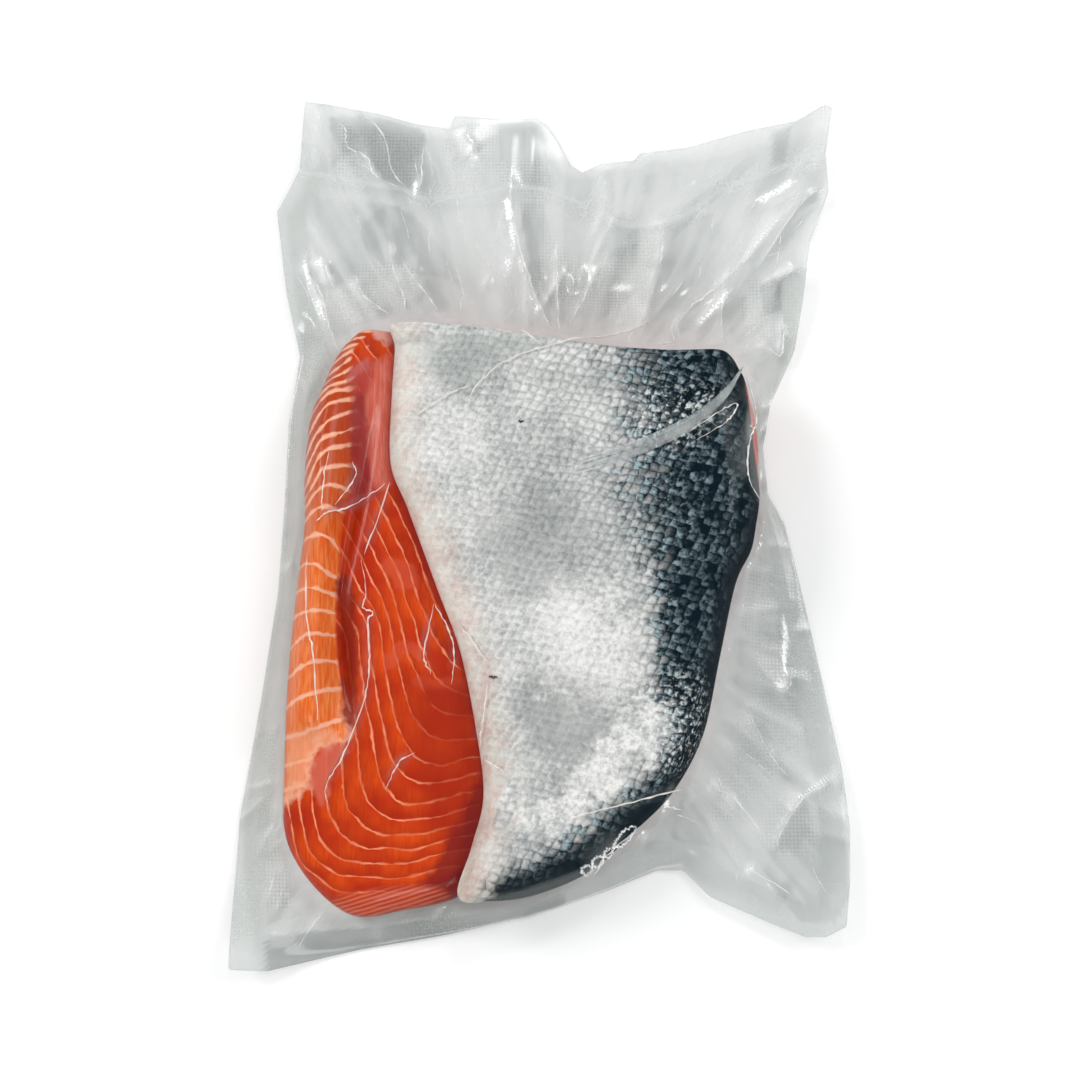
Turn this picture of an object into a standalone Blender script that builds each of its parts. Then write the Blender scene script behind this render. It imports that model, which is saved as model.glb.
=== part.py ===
"""Two raw salmon fillets in a clear vacuum pouch, in metres with +Z up.

The lower fillet lies skin down, and its flesh shows along the left. The upper one lies on it
with its scaly skin up. The pouch is two films, pressed round the fish and sealed along the
rim. The pouch's longest side runs along Y, and the origin is the middle of its underside.
"""

import bpy
import numpy as np

# Films: the real ones are about 0.1 mm, too thin for a solid
FILM = 0.0007
FILM_GAP = 0.0004
FILM_CLEARANCE = 0.0013
FILM_REACH = 0.0085
FILM_REACH_AT_EDGE = 0.0052
FILM_SNUG = 0.0022
RIM_FLAT = 0.006
RIM_RAMP = 0.045
RIM_WAVE = 0.0028
CORNER_LIFT = 0.006
RIM_STEP = 0.021

# Heights of the fish above the table, from the underside up
LOWER_SKIN_BASE = 0.0011
LOWER_SKIN = 0.0010
LAYER_GAP = 0.0006
KEEL_RISE, KEEL_WIDTH = 0.003, 0.008
LOWER_EDGE = 0.0070
LOWER_TOP = 0.0200
LOWER_ROLL = 0.010
LOWER_CUT_ROLL = 0.003
CUT_REACH = 0.012
UPPER_UNDERSIDE = LOWER_TOP + LAYER_GAP
UPPER_LIP = 0.0050
LIP_START, LIP_SLOPE = 0.002, 0.006
LIP_THICKNESS = 0.0015
UPPER_SKIN = 0.0014
UPPER_BELLY_TOP = 0.0270
UPPER_CROWN = 0.0155
CROWN_PLACE = 0.62
TAIL_START, TAIL_LENGTH, TAIL_THINNING = -0.050, 0.095, 0.48
UPPER_BACK_ROLL = 0.018
UPPER_CUT_ROLL = 0.004
BACK_BLEND = 0.022

# Rings of a mesh, as depths in from its edge, close where the surface turns down
LOWER_RINGS = (0, 0.0004, 0.0016, 0.0036, 0.0066, 0.0105, 0.015, 0.019, 0.0225, 0.026, 0.032)
LOWER_KEEL_RINGS = (0, 0.003, 0.008)
UPPER_RINGS = (0, 0.0005, 0.0018, 0.0042, 0.0085, 0.0140)
UPPER_LIP_RINGS = (0, 0.003, 0.006, 0.009, 0.013)
FILM_RINGS = (FILM_SNUG, 0.008, 0.018, 0.030)
MARGIN_SHARES = (1.0, 0.72, 0.48, 0.28, 0.12, 0.0)

# Relief: the belly flap along the left, the groove beside it, the swell by the upper fillet's
# edge, and the valley across the upper fillet
FLAP_RISE, FLAP_WIDTH = 0.0075, 0.0085
FLAP_NORTH, FLAP_SOUTH = 0.078, -0.092
FLAP_START, FLAP_END = 0.030, 0.006
GROOVE_DEPTH, GROOVE_WIDTH = 0.0055, 0.0042
SWELL = 0.0022
SWELL_PLACE, SWELL_SIZE = (-0.055, -0.075), (0.020, 0.060)
NORTH_SAG, SOUTH_SAG = 0.0018, 0.0020
BESIDE_UPPER = 0.012
VALLEY_DEPTH, VALLEY_WIDTH = 0.0034, 0.0080
VALLEY_ENDS = 0.35

# Plan of the upper fillet: cut end, back and belly edge, clockwise from the upper left
CUT_EDGE = ((-0.060, 0.075), (-0.031, 0.072), (-0.006, 0.067), (0.022, 0.062), (0.048, 0.060), (0.070, 0.060))
BACK_EDGE = (
    (0.078, 0.055), (0.0815, 0.043), (0.083, 0.026), (0.0845, 0.004), (0.083, -0.013), (0.076, -0.028),
    (0.069, -0.058), (0.062, -0.088), (0.050, -0.110), (0.036, -0.124), (0.018, -0.140), (-0.003, -0.149),
    (-0.020, -0.1515),
)
BELLY_EDGE = (
    (-0.033, -0.149), (-0.028, -0.131), (-0.0235, -0.111), (-0.027, -0.084), (-0.033, -0.056),
    (-0.042, -0.032), (-0.054, 0.0), (-0.061, 0.018), (-0.061, 0.045), (-0.060, 0.065),
)
UPPER_MIDDLE = (0.020, -0.045)

# Plan of the lower fillet: the side that shows, then the side under the upper fillet
SHOWN_EDGE = (
    (-0.072, 0.0765), (-0.079, 0.0735), (-0.085, 0.066), (-0.090, 0.054), (-0.0955, 0.038), (-0.097, 0.015),
    (-0.0965, -0.005), (-0.099, -0.030), (-0.1015, -0.065), (-0.102, -0.100), (-0.1015, -0.124),
    (-0.095, -0.139), (-0.083, -0.152), (-0.071, -0.1575), (-0.055, -0.155), (-0.036, -0.151),
)
HIDDEN_EDGE = (
    (-0.018, -0.141), (0.003, -0.134), (0.024, -0.118), (0.044, -0.096), (0.054, -0.070), (0.062, -0.040),
    (0.070, -0.016), (0.081, 0.003), (0.086, 0.018), (0.086, 0.034), (0.083, 0.048), (0.072, 0.0565),
    (0.048, 0.0575), (0.022, 0.0590), (-0.006, 0.0640), (-0.031, 0.0695), (-0.056, 0.0740),
)
LOWER_MIDDLE = (-0.020, -0.040)

FLAP_LINE = ((-0.074, 0.070), (-0.082, 0.052), (-0.087, 0.030), (-0.088, -0.030), (-0.091, -0.065), (-0.091, -0.095))
GROOVE_LINE = ((-0.068, 0.060), (-0.070, 0.036), (-0.076, 0.005), (-0.082, -0.033), (-0.081, -0.055), (-0.077, -0.090))
VALLEY_LINE = ((-0.028, -0.056), (-0.010, -0.072), (0.006, -0.075), (0.021, -0.076), (0.036, -0.072), (0.066, -0.053))

# Pouch outline, clockwise from the upper left, with the notches that its edge has
POUCH_TOP = (
    (-0.101, 0.178), (-0.091, 0.177), (-0.069, 0.173), (-0.055, 0.169), (-0.040, 0.167), (-0.038, 0.173),
    (-0.017, 0.172), (-0.004, 0.173), (0.001, 0.170), (0.006, 0.162), (0.011, 0.151), (0.016, 0.148),
    (0.024, 0.152), (0.038, 0.153), (0.040, 0.156), (0.061, 0.158), (0.086, 0.165), (0.106, 0.169),
    (0.118, 0.176),
)
POUCH_RIGHT = (
    (0.121, 0.175), (0.118, 0.155), (0.119, 0.139), (0.110, 0.115), (0.107, 0.093), (0.103, 0.070),
    (0.093, 0.048), (0.0895, 0.030), (0.091, 0.010), (0.098, -0.003), (0.102, -0.023), (0.111, -0.067),
    (0.117, -0.100), (0.119, -0.123), (0.118, -0.145),
)
POUCH_BOTTOM = (
    (0.116, -0.161), (0.108, -0.165), (0.100, -0.165), (0.085, -0.159), (0.064, -0.150), (0.054, -0.140),
    (0.044, -0.140), (0.024, -0.148), (-0.006, -0.158), (-0.041, -0.165), (-0.071, -0.170), (-0.107, -0.178),
)
POUCH_LEFT = (
    (-0.121, -0.177), (-0.121, -0.155), (-0.120, -0.120), (-0.113, -0.073), (-0.1075, -0.030),
    (-0.106, 0.002), (-0.105, 0.040), (-0.101, 0.068), (-0.107, 0.094), (-0.112, 0.130), (-0.103, 0.149),
)
FISH_MIDDLE = (-0.010, -0.035)


def smooth(value):
    """0 up to 0, 1 from 1, and an S between them."""
    t = np.clip(value, 0, 1)
    return t * t * (3 - 2 * t)


def curve(points, steps, closed=False):
    """A Catmull-Rom curve through the points, with that many steps between each two of them."""
    p = np.array(points, float)
    if closed:
        p = np.vstack([p[-1:], p, p[:2]])
    else:
        p = np.vstack([2 * p[0] - p[1], p, 2 * p[-1] - p[-2]])
    t = (np.arange(steps) / steps)[None, :, None]
    a, b, c, d = (p[i : len(p) - 3 + i, None, :] for i in range(4))
    made = b + 0.5 * t * ((c - a) + t * ((2 * a - 5 * b + 4 * c - d) + t * (3 * (b - c) + d - a)))
    made = made.reshape(-1, 2)
    return made if closed else np.vstack([made, p[-2]])


def evenly(points, count):
    """That many points at equal distances along a closed line."""
    loop = np.vstack([points, points[:1]])
    along = np.concatenate([[0], np.cumsum(np.linalg.norm(np.diff(loop, axis=0), axis=1))])
    at = np.arange(count) / count * along[-1]
    return np.stack([np.interp(at, along, loop[:, axis]) for axis in range(2)], axis=1)


def distance(x, y, line):
    """How far each place is from a line of points, and the share of the line's length at its nearest point."""
    place = np.stack([x, y], axis=-1)[..., None, :]
    start, step = line[:-1], np.diff(line, axis=0)
    share = np.clip(((place - start) * step).sum(-1) / (step * step).sum(-1), 0, 1)
    gaps = np.linalg.norm(place - (start + share[..., None] * step), axis=-1)
    nearest = gaps.argmin(-1)
    piece = np.take_along_axis(share, nearest[..., None], -1)[..., 0]
    return gaps.min(-1), (nearest + piece) / len(step)


def inside(x, y, loop):
    """Distance in from a closed line: positive inside it and negative outside."""
    closed = np.vstack([loop, loop[:1]])
    gap = distance(x, y, closed)[0]
    x0, y0 = closed[:-1, 0], closed[:-1, 1]
    x1, y1 = closed[1:, 0], closed[1:, 1]
    px, py = x[..., None], y[..., None]
    straddles = (y0 > py) != (y1 > py)
    crossing = x0 + (py - y0) * (x1 - x0) / np.where(y1 == y0, 1, y1 - y0)
    odd = (straddles & (px < crossing)).sum(-1) % 2 == 1
    return np.where(odd, gap, -gap)


def roll(depth, radius):
    """A rounded rim: 0 at the edge and 1 from one radius in, as a quarter of a circle."""
    t = np.clip(depth / radius, 0, 1)
    return np.sqrt(1 - (1 - t) ** 2)


UPPER = curve(CUT_EDGE + BACK_EDGE + BELLY_EDGE, 6, closed=True)
LOWER = curve(SHOWN_EDGE + HIDDEN_EDGE, 6, closed=True)
CUT, BACK, BELLY = (curve(line, 6) for line in (CUT_EDGE, BACK_EDGE, BELLY_EDGE))
LOWER_CUT = curve(HIDDEN_EDGE[-6:] + SHOWN_EDGE[:1], 6)
FLAP, GROOVE, VALLEY = (curve(line, 6) for line in (FLAP_LINE, GROOVE_LINE, VALLEY_LINE))


def bump(gap, width):
    """1 on a line and falling away from it as a bell of that width."""
    return np.exp(-((gap / width) ** 2))


def lower_top(x, y):
    """The lower fillet's flesh: a flat bed that rolls down at its edge, with the flap and the groove on it."""
    from_cut = distance(x, y, LOWER_CUT)[0]
    radius = LOWER_CUT_ROLL + (LOWER_ROLL - LOWER_CUT_ROLL) * smooth(from_cut / CUT_REACH)
    flap_length = smooth((FLAP_NORTH - y) / FLAP_START) * smooth((y - FLAP_SOUTH) / FLAP_END)
    rise = FLAP_RISE * bump(distance(x, y, FLAP)[0], FLAP_WIDTH) * flap_length
    groove, share = distance(x, y, GROOVE)
    rise -= GROOVE_DEPTH * bump(groove, GROOVE_WIDTH) * smooth(2 * share) * smooth(6 * (1 - share))
    rise += SWELL * bump(x - SWELL_PLACE[0], SWELL_SIZE[0]) * bump(y - SWELL_PLACE[1], SWELL_SIZE[1])
    rise -= SOUTH_SAG * smooth((-0.085 - y) / 0.060) + NORTH_SAG * smooth((y - 0.010) / 0.050)
    top = LOWER_TOP + rise * smooth(-inside(x, y, UPPER) / BESIDE_UPPER)
    return LOWER_EDGE + (top - LOWER_EDGE) * roll(inside(x, y, LOWER), radius)


def upper_underside(x, y):
    """Flat on the lower fillet, then down past the lower fillet's edge to a lip near the table."""
    past_lower = -inside(x, y, LOWER)
    return UPPER_UNDERSIDE - (UPPER_UNDERSIDE - UPPER_LIP) * smooth((past_lower - LIP_START) / LIP_SLOPE)


def upper_top(x, y):
    """The upper fillet's skin: thin at the belly, thick at the back, with a valley across it towards the tail."""
    to_belly, to_back, to_cut = (distance(x, y, line)[0] for line in (BELLY, BACK, CUT))
    climb = np.clip(to_belly / (to_belly + to_back + 1e-6) / CROWN_PLACE, 0, 1)
    taper = 1 - TAIL_THINNING * smooth((TAIL_START - y) / TAIL_LENGTH)
    top = UPPER_BELLY_TOP + UPPER_CROWN * climb * (2 - climb) * taper
    valley, share = distance(x, y, VALLEY)
    ends = smooth(share / VALLEY_ENDS) * smooth((1 - share) / VALLEY_ENDS)
    top = top - VALLEY_DEPTH * bump(valley, VALLEY_WIDTH) * ends
    backness = smooth((np.minimum(to_belly, to_cut) - to_back) / BACK_BLEND + 0.60)
    edge = (1 - backness) * (top - UPPER_CUT_ROLL) + backness * (upper_underside(x, y) + LIP_THICKNESS)
    radius = UPPER_CUT_ROLL + (UPPER_BACK_ROLL - UPPER_CUT_ROLL) * backness
    return edge + (top - edge) * roll(inside(x, y, UPPER), radius)


def spokes(middle, outline, depths, count):
    """Plan places on straight lines from the middle to the outline: rings at these depths in from it, then even ones."""
    centre = np.array(middle)
    reach = np.linalg.norm(outline - centre, axis=1)[:, None]
    near = 1 - np.array(depths)[None, :] / reach
    far = near[:, -1:] * (1 - 0.98 * np.arange(1, count + 1) / count)
    share = np.hstack([near, far])[..., None]
    places = centre + share * (outline[:, None, :] - centre)
    return places[..., 0].T, places[..., 1].T


def rings_to_faces(first, rings, around):
    """Triangles between the rings and out to a middle point, split alike on every surface."""
    faces = []
    for outer in range(first, first + (rings - 1) * around, around):
        for i in range(around):
            j = (i + 1) % around
            faces += [(outer + i, outer + j, outer + around + j), (outer + i, outer + around + j, outer + around + i)]
    last, middle = first + (rings - 1) * around, first + rings * around
    return faces + [(last + i, last + (i + 1) % around, middle) for i in range(around)]


def solid(name, top, bottom, colour, roughness, alpha=1.0):
    """One closed mesh from two surfaces, each an array (ring, spoke, xyz) from the rim to the middle."""
    around = top.shape[1]
    points = []
    for side in (top, bottom):
        points.extend(side[:-1].reshape(-1, 3).tolist())
        points.append(side[-1].mean(axis=0).tolist())
    low = (len(top) - 1) * around + 1
    faces = rings_to_faces(0, len(top) - 1, around)
    faces += [face[::-1] for face in rings_to_faces(low, len(bottom) - 1, around)]
    faces += [(i, low + i, low + (i + 1) % around, (i + 1) % around) for i in range(around)]
    mesh = bpy.data.meshes.new(name)
    mesh.from_pydata(points, [], faces)
    mesh.shade_smooth()
    mesh.set_sharp_from_angle(angle=0.7)
    material = bpy.data.materials.new(name)
    material.use_nodes = True
    shader = material.node_tree.nodes["Principled BSDF"]
    shader.inputs["Base Color"].default_value = (*colour, 1.0)
    shader.inputs["Roughness"].default_value = roughness
    shader.inputs["Alpha"].default_value = alpha
    mesh.materials.append(material)
    bpy.context.scene.collection.objects.link(bpy.data.objects.new(name, mesh))


def surface(x, y, z):
    """The places and heights as one array of points."""
    return np.stack([x, y, np.broadcast_to(z, x.shape)], axis=-1)


def drop(points, thickness):
    """The same rings moved in along the surface's own normal."""
    around = np.roll(points, -1, axis=1) - np.roll(points, 1, axis=1)
    inwards = np.gradient(points, axis=0)
    normal = np.cross(inwards, around)
    normal /= np.maximum(np.linalg.norm(normal, axis=-1, keepdims=True), 1e-9)
    normal[-1] = normal[-2].mean(axis=0) / np.linalg.norm(normal[-2].mean(axis=0))
    normal *= np.sign(normal[..., 2:].mean())
    return points - thickness * normal


def lower_fillet():
    """Skin under flesh: both follow the same rounded keel, one gap apart."""
    outline = evenly(LOWER, 76)
    x, y = spokes(LOWER_MIDDLE, outline, LOWER_RINGS, 7)
    top = surface(x, y, lower_top(x, y))
    flat_x, flat_y = spokes(LOWER_MIDDLE, outline, LOWER_KEEL_RINGS, 1)
    keel = KEEL_RISE * (1 - np.clip(inside(flat_x, flat_y, LOWER) / KEEL_WIDTH, 0, 1)) ** 2
    flesh_base = LOWER_SKIN_BASE + LOWER_SKIN + LAYER_GAP
    bottom = surface(flat_x, flat_y, flesh_base + keel)
    solid("lower_flesh", top, bottom, (0.66, 0.10, 0.02), 0.35)
    skin_top = surface(flat_x, flat_y, flesh_base - LAYER_GAP + keel)
    solid("lower_skin", skin_top, surface(flat_x, flat_y, LOWER_SKIN_BASE + keel), (0.42, 0.45, 0.47), 0.3)


def upper_fillet():
    """A skin that wraps over the flesh, thick down the back, and the flesh one gap inside it."""
    outline = evenly(UPPER, 52)[::-1]
    x, y = spokes(UPPER_MIDDLE, outline, UPPER_RINGS, 9)
    outer = surface(x, y, upper_top(x, y))
    solid("upper_skin", outer, drop(outer, UPPER_SKIN), (0.22, 0.26, 0.29), 0.3)
    flesh = drop(outer, UPPER_SKIN + LAYER_GAP)
    under_x, under_y = spokes(UPPER_MIDDLE, flesh[0, :, :2], UPPER_LIP_RINGS, 2)
    bottom = surface(under_x, under_y, upper_underside(under_x, under_y))
    solid("upper_flesh", flesh, bottom, (0.66, 0.12, 0.03), 0.35)


def fish_height(x, y, reach):
    """The highest point of the fish within reach of each place, and 0 where there is none."""
    step = np.arange(-0.105, 0.0901, 0.0025)
    along = np.arange(-0.160, 0.0801, 0.0025)
    fish_x, fish_y = (a.ravel() for a in np.meshgrid(step, along))
    in_upper, in_lower = inside(fish_x, fish_y, UPPER), inside(fish_x, fish_y, LOWER)
    height = np.where(in_lower > 0, lower_top(fish_x, fish_y), 0)
    height = np.maximum(height, np.where(in_upper > 0, upper_top(fish_x, fish_y), 0))
    gap = np.hypot(x.ravel()[:, None] - fish_x, y.ravel()[:, None] - fish_y)
    tallest = np.where(gap < reach.ravel()[:, None], height, 0).max(axis=1)
    return tallest.reshape(x.shape)


def margin_height(x, y):
    """The pouch's rim: flat near the fish, then low waves, and lifted corners."""
    out = np.maximum(-inside(x, y, LOWER), 0) * (inside(x, y, UPPER) < 0)
    out = np.minimum(out, np.maximum(-inside(x, y, UPPER), 0))
    wave = 1 + 0.6 * np.sin(x / 0.019 + y / 0.041) + 0.4 * np.sin(y / 0.017 - x / 0.030)
    corner = np.clip(np.abs(x) / 0.115, 0, 1) ** 4 * np.clip(np.abs(y) / 0.17, 0, 1) ** 4
    return smooth((out - RIM_FLAT) / RIM_RAMP) * (RIM_WAVE * wave + CORNER_LIFT * corner)


def pouch_rim():
    """The pouch's edge, anticlockwise, with a place every RIM_STEP or so and one at each corner."""
    bag = np.array(POUCH_TOP + POUCH_RIGHT + POUCH_BOTTOM + POUCH_LEFT)[::-1]
    rim = []
    for start, end in zip(bag, np.roll(bag, -1, axis=0)):
        parts = max(1, round(float(np.linalg.norm(end - start)) / RIM_STEP))
        rim += [start + (end - start) * i / parts for i in range(parts)]
    return np.array(rim)


def pouch():
    """The back film lies flat under the fish; the front one is drawn over it, and both meet along the rim."""
    rim = pouch_rim()
    centre = np.array(FISH_MIDDLE)
    reach = np.linalg.norm(rim - centre, axis=1)
    direction = (rim - centre) / reach[:, None]
    probe = np.linspace(0.03, 0.25, 441)
    line = centre + direction[:, None, :] * probe[None, :, None]
    in_fish = np.maximum(inside(line[..., 0], line[..., 1], UPPER), inside(line[..., 0], line[..., 1], LOWER)) > 0
    edge = np.where(in_fish, probe[None, :], 0).max(axis=1)
    snug = np.minimum(FILM_SNUG, 0.4 * (reach - edge))
    margin = [edge + snug + (reach - edge - snug) * share for share in MARGIN_SHARES]
    over = [edge - depth for depth in FILM_RINGS]
    over += [(edge - FILM_RINGS[-1]) * share for share in (0.75, 0.50, 0.25, 0.0)]
    places = centre + np.array(margin + over)[..., None] * direction[None]
    x, y = places[..., 0], places[..., 1]
    table = margin_height(x, y)
    rings = len(margin)
    flat = [*range(rings), -1]
    back = surface(x[flat], y[flat], table[flat])
    solid("pouch_back", back + (0, 0, FILM), back, (0.75, 0.78, 0.78), 0.15, alpha=0.3)
    lowest = table + FILM + FILM_GAP
    near = np.full(x.shape, FILM_REACH)
    near[: rings + 1] = FILM_REACH_AT_EDGE
    fish = fish_height(x, y, near)
    held = np.maximum(np.where(fish > 0, fish + FILM_CLEARANCE, 0), lowest)
    film = held.copy()
    for _ in range(300):
        film[1:rings] = np.maximum(held[1:rings], 0.5 * (film[: rings - 1] + film[2 : rings + 1]))
    tightness = smooth(np.arange(rings) / rings)[:, None]
    film[:rings] = np.maximum(held[:rings], lowest[:rings] + (film[:rings] - lowest[:rings]) * tightness)
    film[0] = lowest[0]
    front = surface(x, y, film)
    solid("pouch_front", front + (0, 0, FILM), front, (0.80, 0.83, 0.83), 0.12, alpha=0.3)


for leftover in list(bpy.data.objects):
    bpy.data.objects.remove(leftover)
lower_fillet()
upper_fillet()
pouch()
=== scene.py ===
"""Looks of two raw salmon fillets in a clear vacuum pouch.

Plans and heights are worked out in millimetres, and each mesh is set in the frame's metres.
"""

import math

import bpy
import numpy as np
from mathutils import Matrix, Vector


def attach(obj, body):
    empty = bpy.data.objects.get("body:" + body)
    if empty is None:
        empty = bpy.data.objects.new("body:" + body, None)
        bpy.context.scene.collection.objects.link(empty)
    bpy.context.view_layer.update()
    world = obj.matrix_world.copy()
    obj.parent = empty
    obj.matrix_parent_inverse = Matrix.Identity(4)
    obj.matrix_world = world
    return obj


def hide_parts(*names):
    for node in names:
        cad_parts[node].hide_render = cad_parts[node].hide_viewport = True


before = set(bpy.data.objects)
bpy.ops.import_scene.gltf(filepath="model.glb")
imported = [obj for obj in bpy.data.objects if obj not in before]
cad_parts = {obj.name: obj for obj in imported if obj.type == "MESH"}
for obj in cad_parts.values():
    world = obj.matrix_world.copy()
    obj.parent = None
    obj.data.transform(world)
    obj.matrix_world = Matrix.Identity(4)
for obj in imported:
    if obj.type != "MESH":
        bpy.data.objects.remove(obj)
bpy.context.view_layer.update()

# The lower fillet is raw salmon, trimmed from a whole side and laid skin down. Its muscle is in
# sheets a few millimetres thick with pale fat between them, and its thin belly flap is folded
# up along the left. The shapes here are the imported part's own, drawn with more points.

MM = 0.001
SHOWN_EDGE = (
    (-72, 76.5), (-79, 73.5), (-85, 66), (-90, 54), (-95.5, 38), (-97, 15), (-96.5, -5), (-99, -30),
    (-101.5, -65), (-102, -100), (-101.5, -124), (-95, -139), (-83, -152), (-71, -157.5), (-55, -155),
    (-36, -151),
)
HIDDEN_EDGE = (
    (-18, -141), (3, -134), (24, -118), (44, -96), (54, -70), (62, -40), (70, -16), (81, 3), (86, 18),
    (86, 34), (83, 48), (72, 56.5), (48, 57.5), (22, 59), (-6, 64), (-31, 69.5), (-56, 74),
)
CUT_EDGE = ((-60, 75), (-31, 72), (-6, 67), (22, 62), (48, 60), (70, 60))
BACK_EDGE = (
    (78, 55), (81.5, 43), (83, 26), (84.5, 4), (83, -13), (76, -28), (69, -58), (62, -88), (50, -110),
    (36, -124), (18, -140), (-3, -149), (-20, -151.5),
)
BELLY_EDGE = (
    (-33, -149), (-28, -131), (-23.5, -111), (-27, -84), (-33, -56), (-42, -32), (-54, 0), (-61, 18),
    (-61, 45), (-60, 65),
)
FLAP_LINE = ((-74, 70), (-82, 52), (-87, 30), (-88, -30), (-91, -65), (-91, -95))
GROOVE_LINE = ((-68, 60), (-70, 36), (-76, 5), (-82, -33), (-81, -55), (-77, -90))
LOWER_MIDDLE = (-20, -40)
# Heights and widths in mm: the layers from the table up, the rolled rim, the flap, the groove beside it,
# the swelling below it, and how far the bed sags towards either end and beside the upper fillet
SKIN_BASE, LOWER_SKIN, LAYER_GAP = 1.1, 1.0, 0.6
KEEL_RISE, KEEL_WIDTH = 3.0, 8.0
LOWER_EDGE, LOWER_TOP = 7.0, 20.0
LOWER_ROLL, LOWER_CUT_ROLL, CUT_REACH = 10.0, 3.0, 12.0
FLAP_RISE, FLAP_WIDTH = 7.5, 8.5
FLAP_NORTH, FLAP_SOUTH, FLAP_START, FLAP_END = 78, -94, 30, 15
GROOVE_DEPTH, GROOVE_WIDTH = 5.5, 4.2
SWELL, SWELL_PLACE, SWELL_SIZE = 2.2, (-55, -75), (20, 60)
NORTH_SAG, NORTH_FROM, NORTH_OVER = 1.8, 10, 50
SOUTH_SAG, SOUTH_FROM, SOUTH_OVER = 2.0, -85, 60
BESIDE_UPPER = 12.0


def smooth(value):
    """0 up to 0, 1 from 1, and 3t^2 - 2t^3 between them."""
    t = np.clip(value, 0, 1)
    return t * t * (3 - 2 * t)


def bump(gap, width):
    """A bell: e to the power of minus (gap / width) squared."""
    return np.exp(-((gap / width) ** 2))


def curve(points, steps, closed=False):
    """A Catmull-Rom curve: between each two points, the cubic whose slopes there join their neighbours."""
    p = np.array(points, float)
    if closed:
        p = np.vstack([p[-1:], p, p[:2]])
    else:
        p = np.vstack([2 * p[0] - p[1], p, 2 * p[-1] - p[-2]])
    t = (np.arange(steps) / steps)[None, :, None]
    a, b, c, d = (p[i : len(p) - 3 + i, None, :] for i in range(4))
    made = b + 0.5 * t * ((c - a) + t * ((2 * a - 5 * b + 4 * c - d) + t * (3 * (b - c) + d - a)))
    made = made.reshape(-1, 2)
    return made if closed else np.vstack([made, p[-2]])


def evenly(points, count):
    """That many points at equal distances along a closed line."""
    loop = np.vstack([points, points[:1]])
    along = np.concatenate([[0], np.cumsum(np.linalg.norm(np.diff(loop, axis=0), axis=1))])
    at = np.arange(count) / count * along[-1]
    return np.stack([np.interp(at, along, loop[:, axis]) for axis in range(2)], axis=1)


def distance(x, y, line):
    """Gap from each place to a line, and the share of the line's length where it is nearest.

    Each straight piece is tried in turn: the place is dropped on it, and the smallest gap stays.
    """
    gap = np.full(np.shape(x), 1e9)
    share = np.zeros(np.shape(x))
    for i, (start, end) in enumerate(zip(line[:-1], line[1:])):
        step = end - start
        t = np.clip(((x - start[0]) * step[0] + (y - start[1]) * step[1]) / (step @ step), 0, 1)
        here = np.hypot(x - start[0] - t * step[0], y - start[1] - t * step[1])
        nearer = here < gap
        gap = np.where(nearer, here, gap)
        share = np.where(nearer, (i + t) / (len(line) - 1), share)
    return gap, share


def inside(x, y, loop):
    """Distance in from a closed line, below 0 outside it.

    A place is inside where a ray to its right crosses the line an odd number of times.
    """
    closed = np.vstack([loop, loop[:1]])
    odd = np.zeros(np.shape(x), bool)
    for (x0, y0), (x1, y1) in zip(closed[:-1], closed[1:]):
        if y0 != y1:
            odd ^= ((y0 > y) != (y1 > y)) & (x < x0 + (y - y0) * (x1 - x0) / (y1 - y0))
    gap = distance(x, y, closed)[0]
    return np.where(odd, gap, -gap)


def roll(depth, radius):
    """A rounded rim, as a quarter of a circle: the root of 1 - (1 - depth / radius) squared."""
    t = np.clip(depth / radius, 0, 1)
    return np.sqrt(1 - (1 - t) ** 2)


UPPER = curve(CUT_EDGE + BACK_EDGE + BELLY_EDGE, 6, closed=True)
LOWER = curve(SHOWN_EDGE + HIDDEN_EDGE, 6, closed=True)
CUT, BACK, BELLY = (curve(line, 6) for line in (CUT_EDGE, BACK_EDGE, BELLY_EDGE))
LOWER_CUT = curve(HIDDEN_EDGE[-6:] + SHOWN_EDGE[:1], 6)
FLAP, GROOVE = curve(FLAP_LINE, 6), curve(GROOVE_LINE, 6)


def lower_top(x, y):
    """A flat bed that rolls down at its edge, plus a bell along the flap and minus one along the groove."""
    from_cut = distance(x, y, LOWER_CUT)[0]
    radius = LOWER_CUT_ROLL + (LOWER_ROLL - LOWER_CUT_ROLL) * smooth(from_cut / CUT_REACH)
    flap_length = smooth((FLAP_NORTH - y) / FLAP_START) * smooth((y - FLAP_SOUTH) / FLAP_END)
    rise = FLAP_RISE * bump(distance(x, y, FLAP)[0], FLAP_WIDTH) * flap_length
    groove, share = distance(x, y, GROOVE)
    rise -= GROOVE_DEPTH * bump(groove, GROOVE_WIDTH) * smooth(2 * share) * smooth(6 * (1 - share))
    rise += SWELL * bump(x - SWELL_PLACE[0], SWELL_SIZE[0]) * bump(y - SWELL_PLACE[1], SWELL_SIZE[1])
    sag = SOUTH_SAG * smooth((SOUTH_FROM - y) / SOUTH_OVER)
    sag += NORTH_SAG * smooth((y - NORTH_FROM) / NORTH_OVER)
    top = LOWER_TOP + (rise - sag) * smooth(-inside(x, y, UPPER) / BESIDE_UPPER)
    return LOWER_EDGE + (top - LOWER_EDGE) * roll(inside(x, y, LOWER), radius)


def keel(x, y):
    """How far the lower fillet's underside rises at its edge: the square of what is left of the width."""
    return KEEL_RISE * (1 - np.clip(inside(x, y, LOWER) / KEEL_WIDTH, 0, 1)) ** 2


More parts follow.
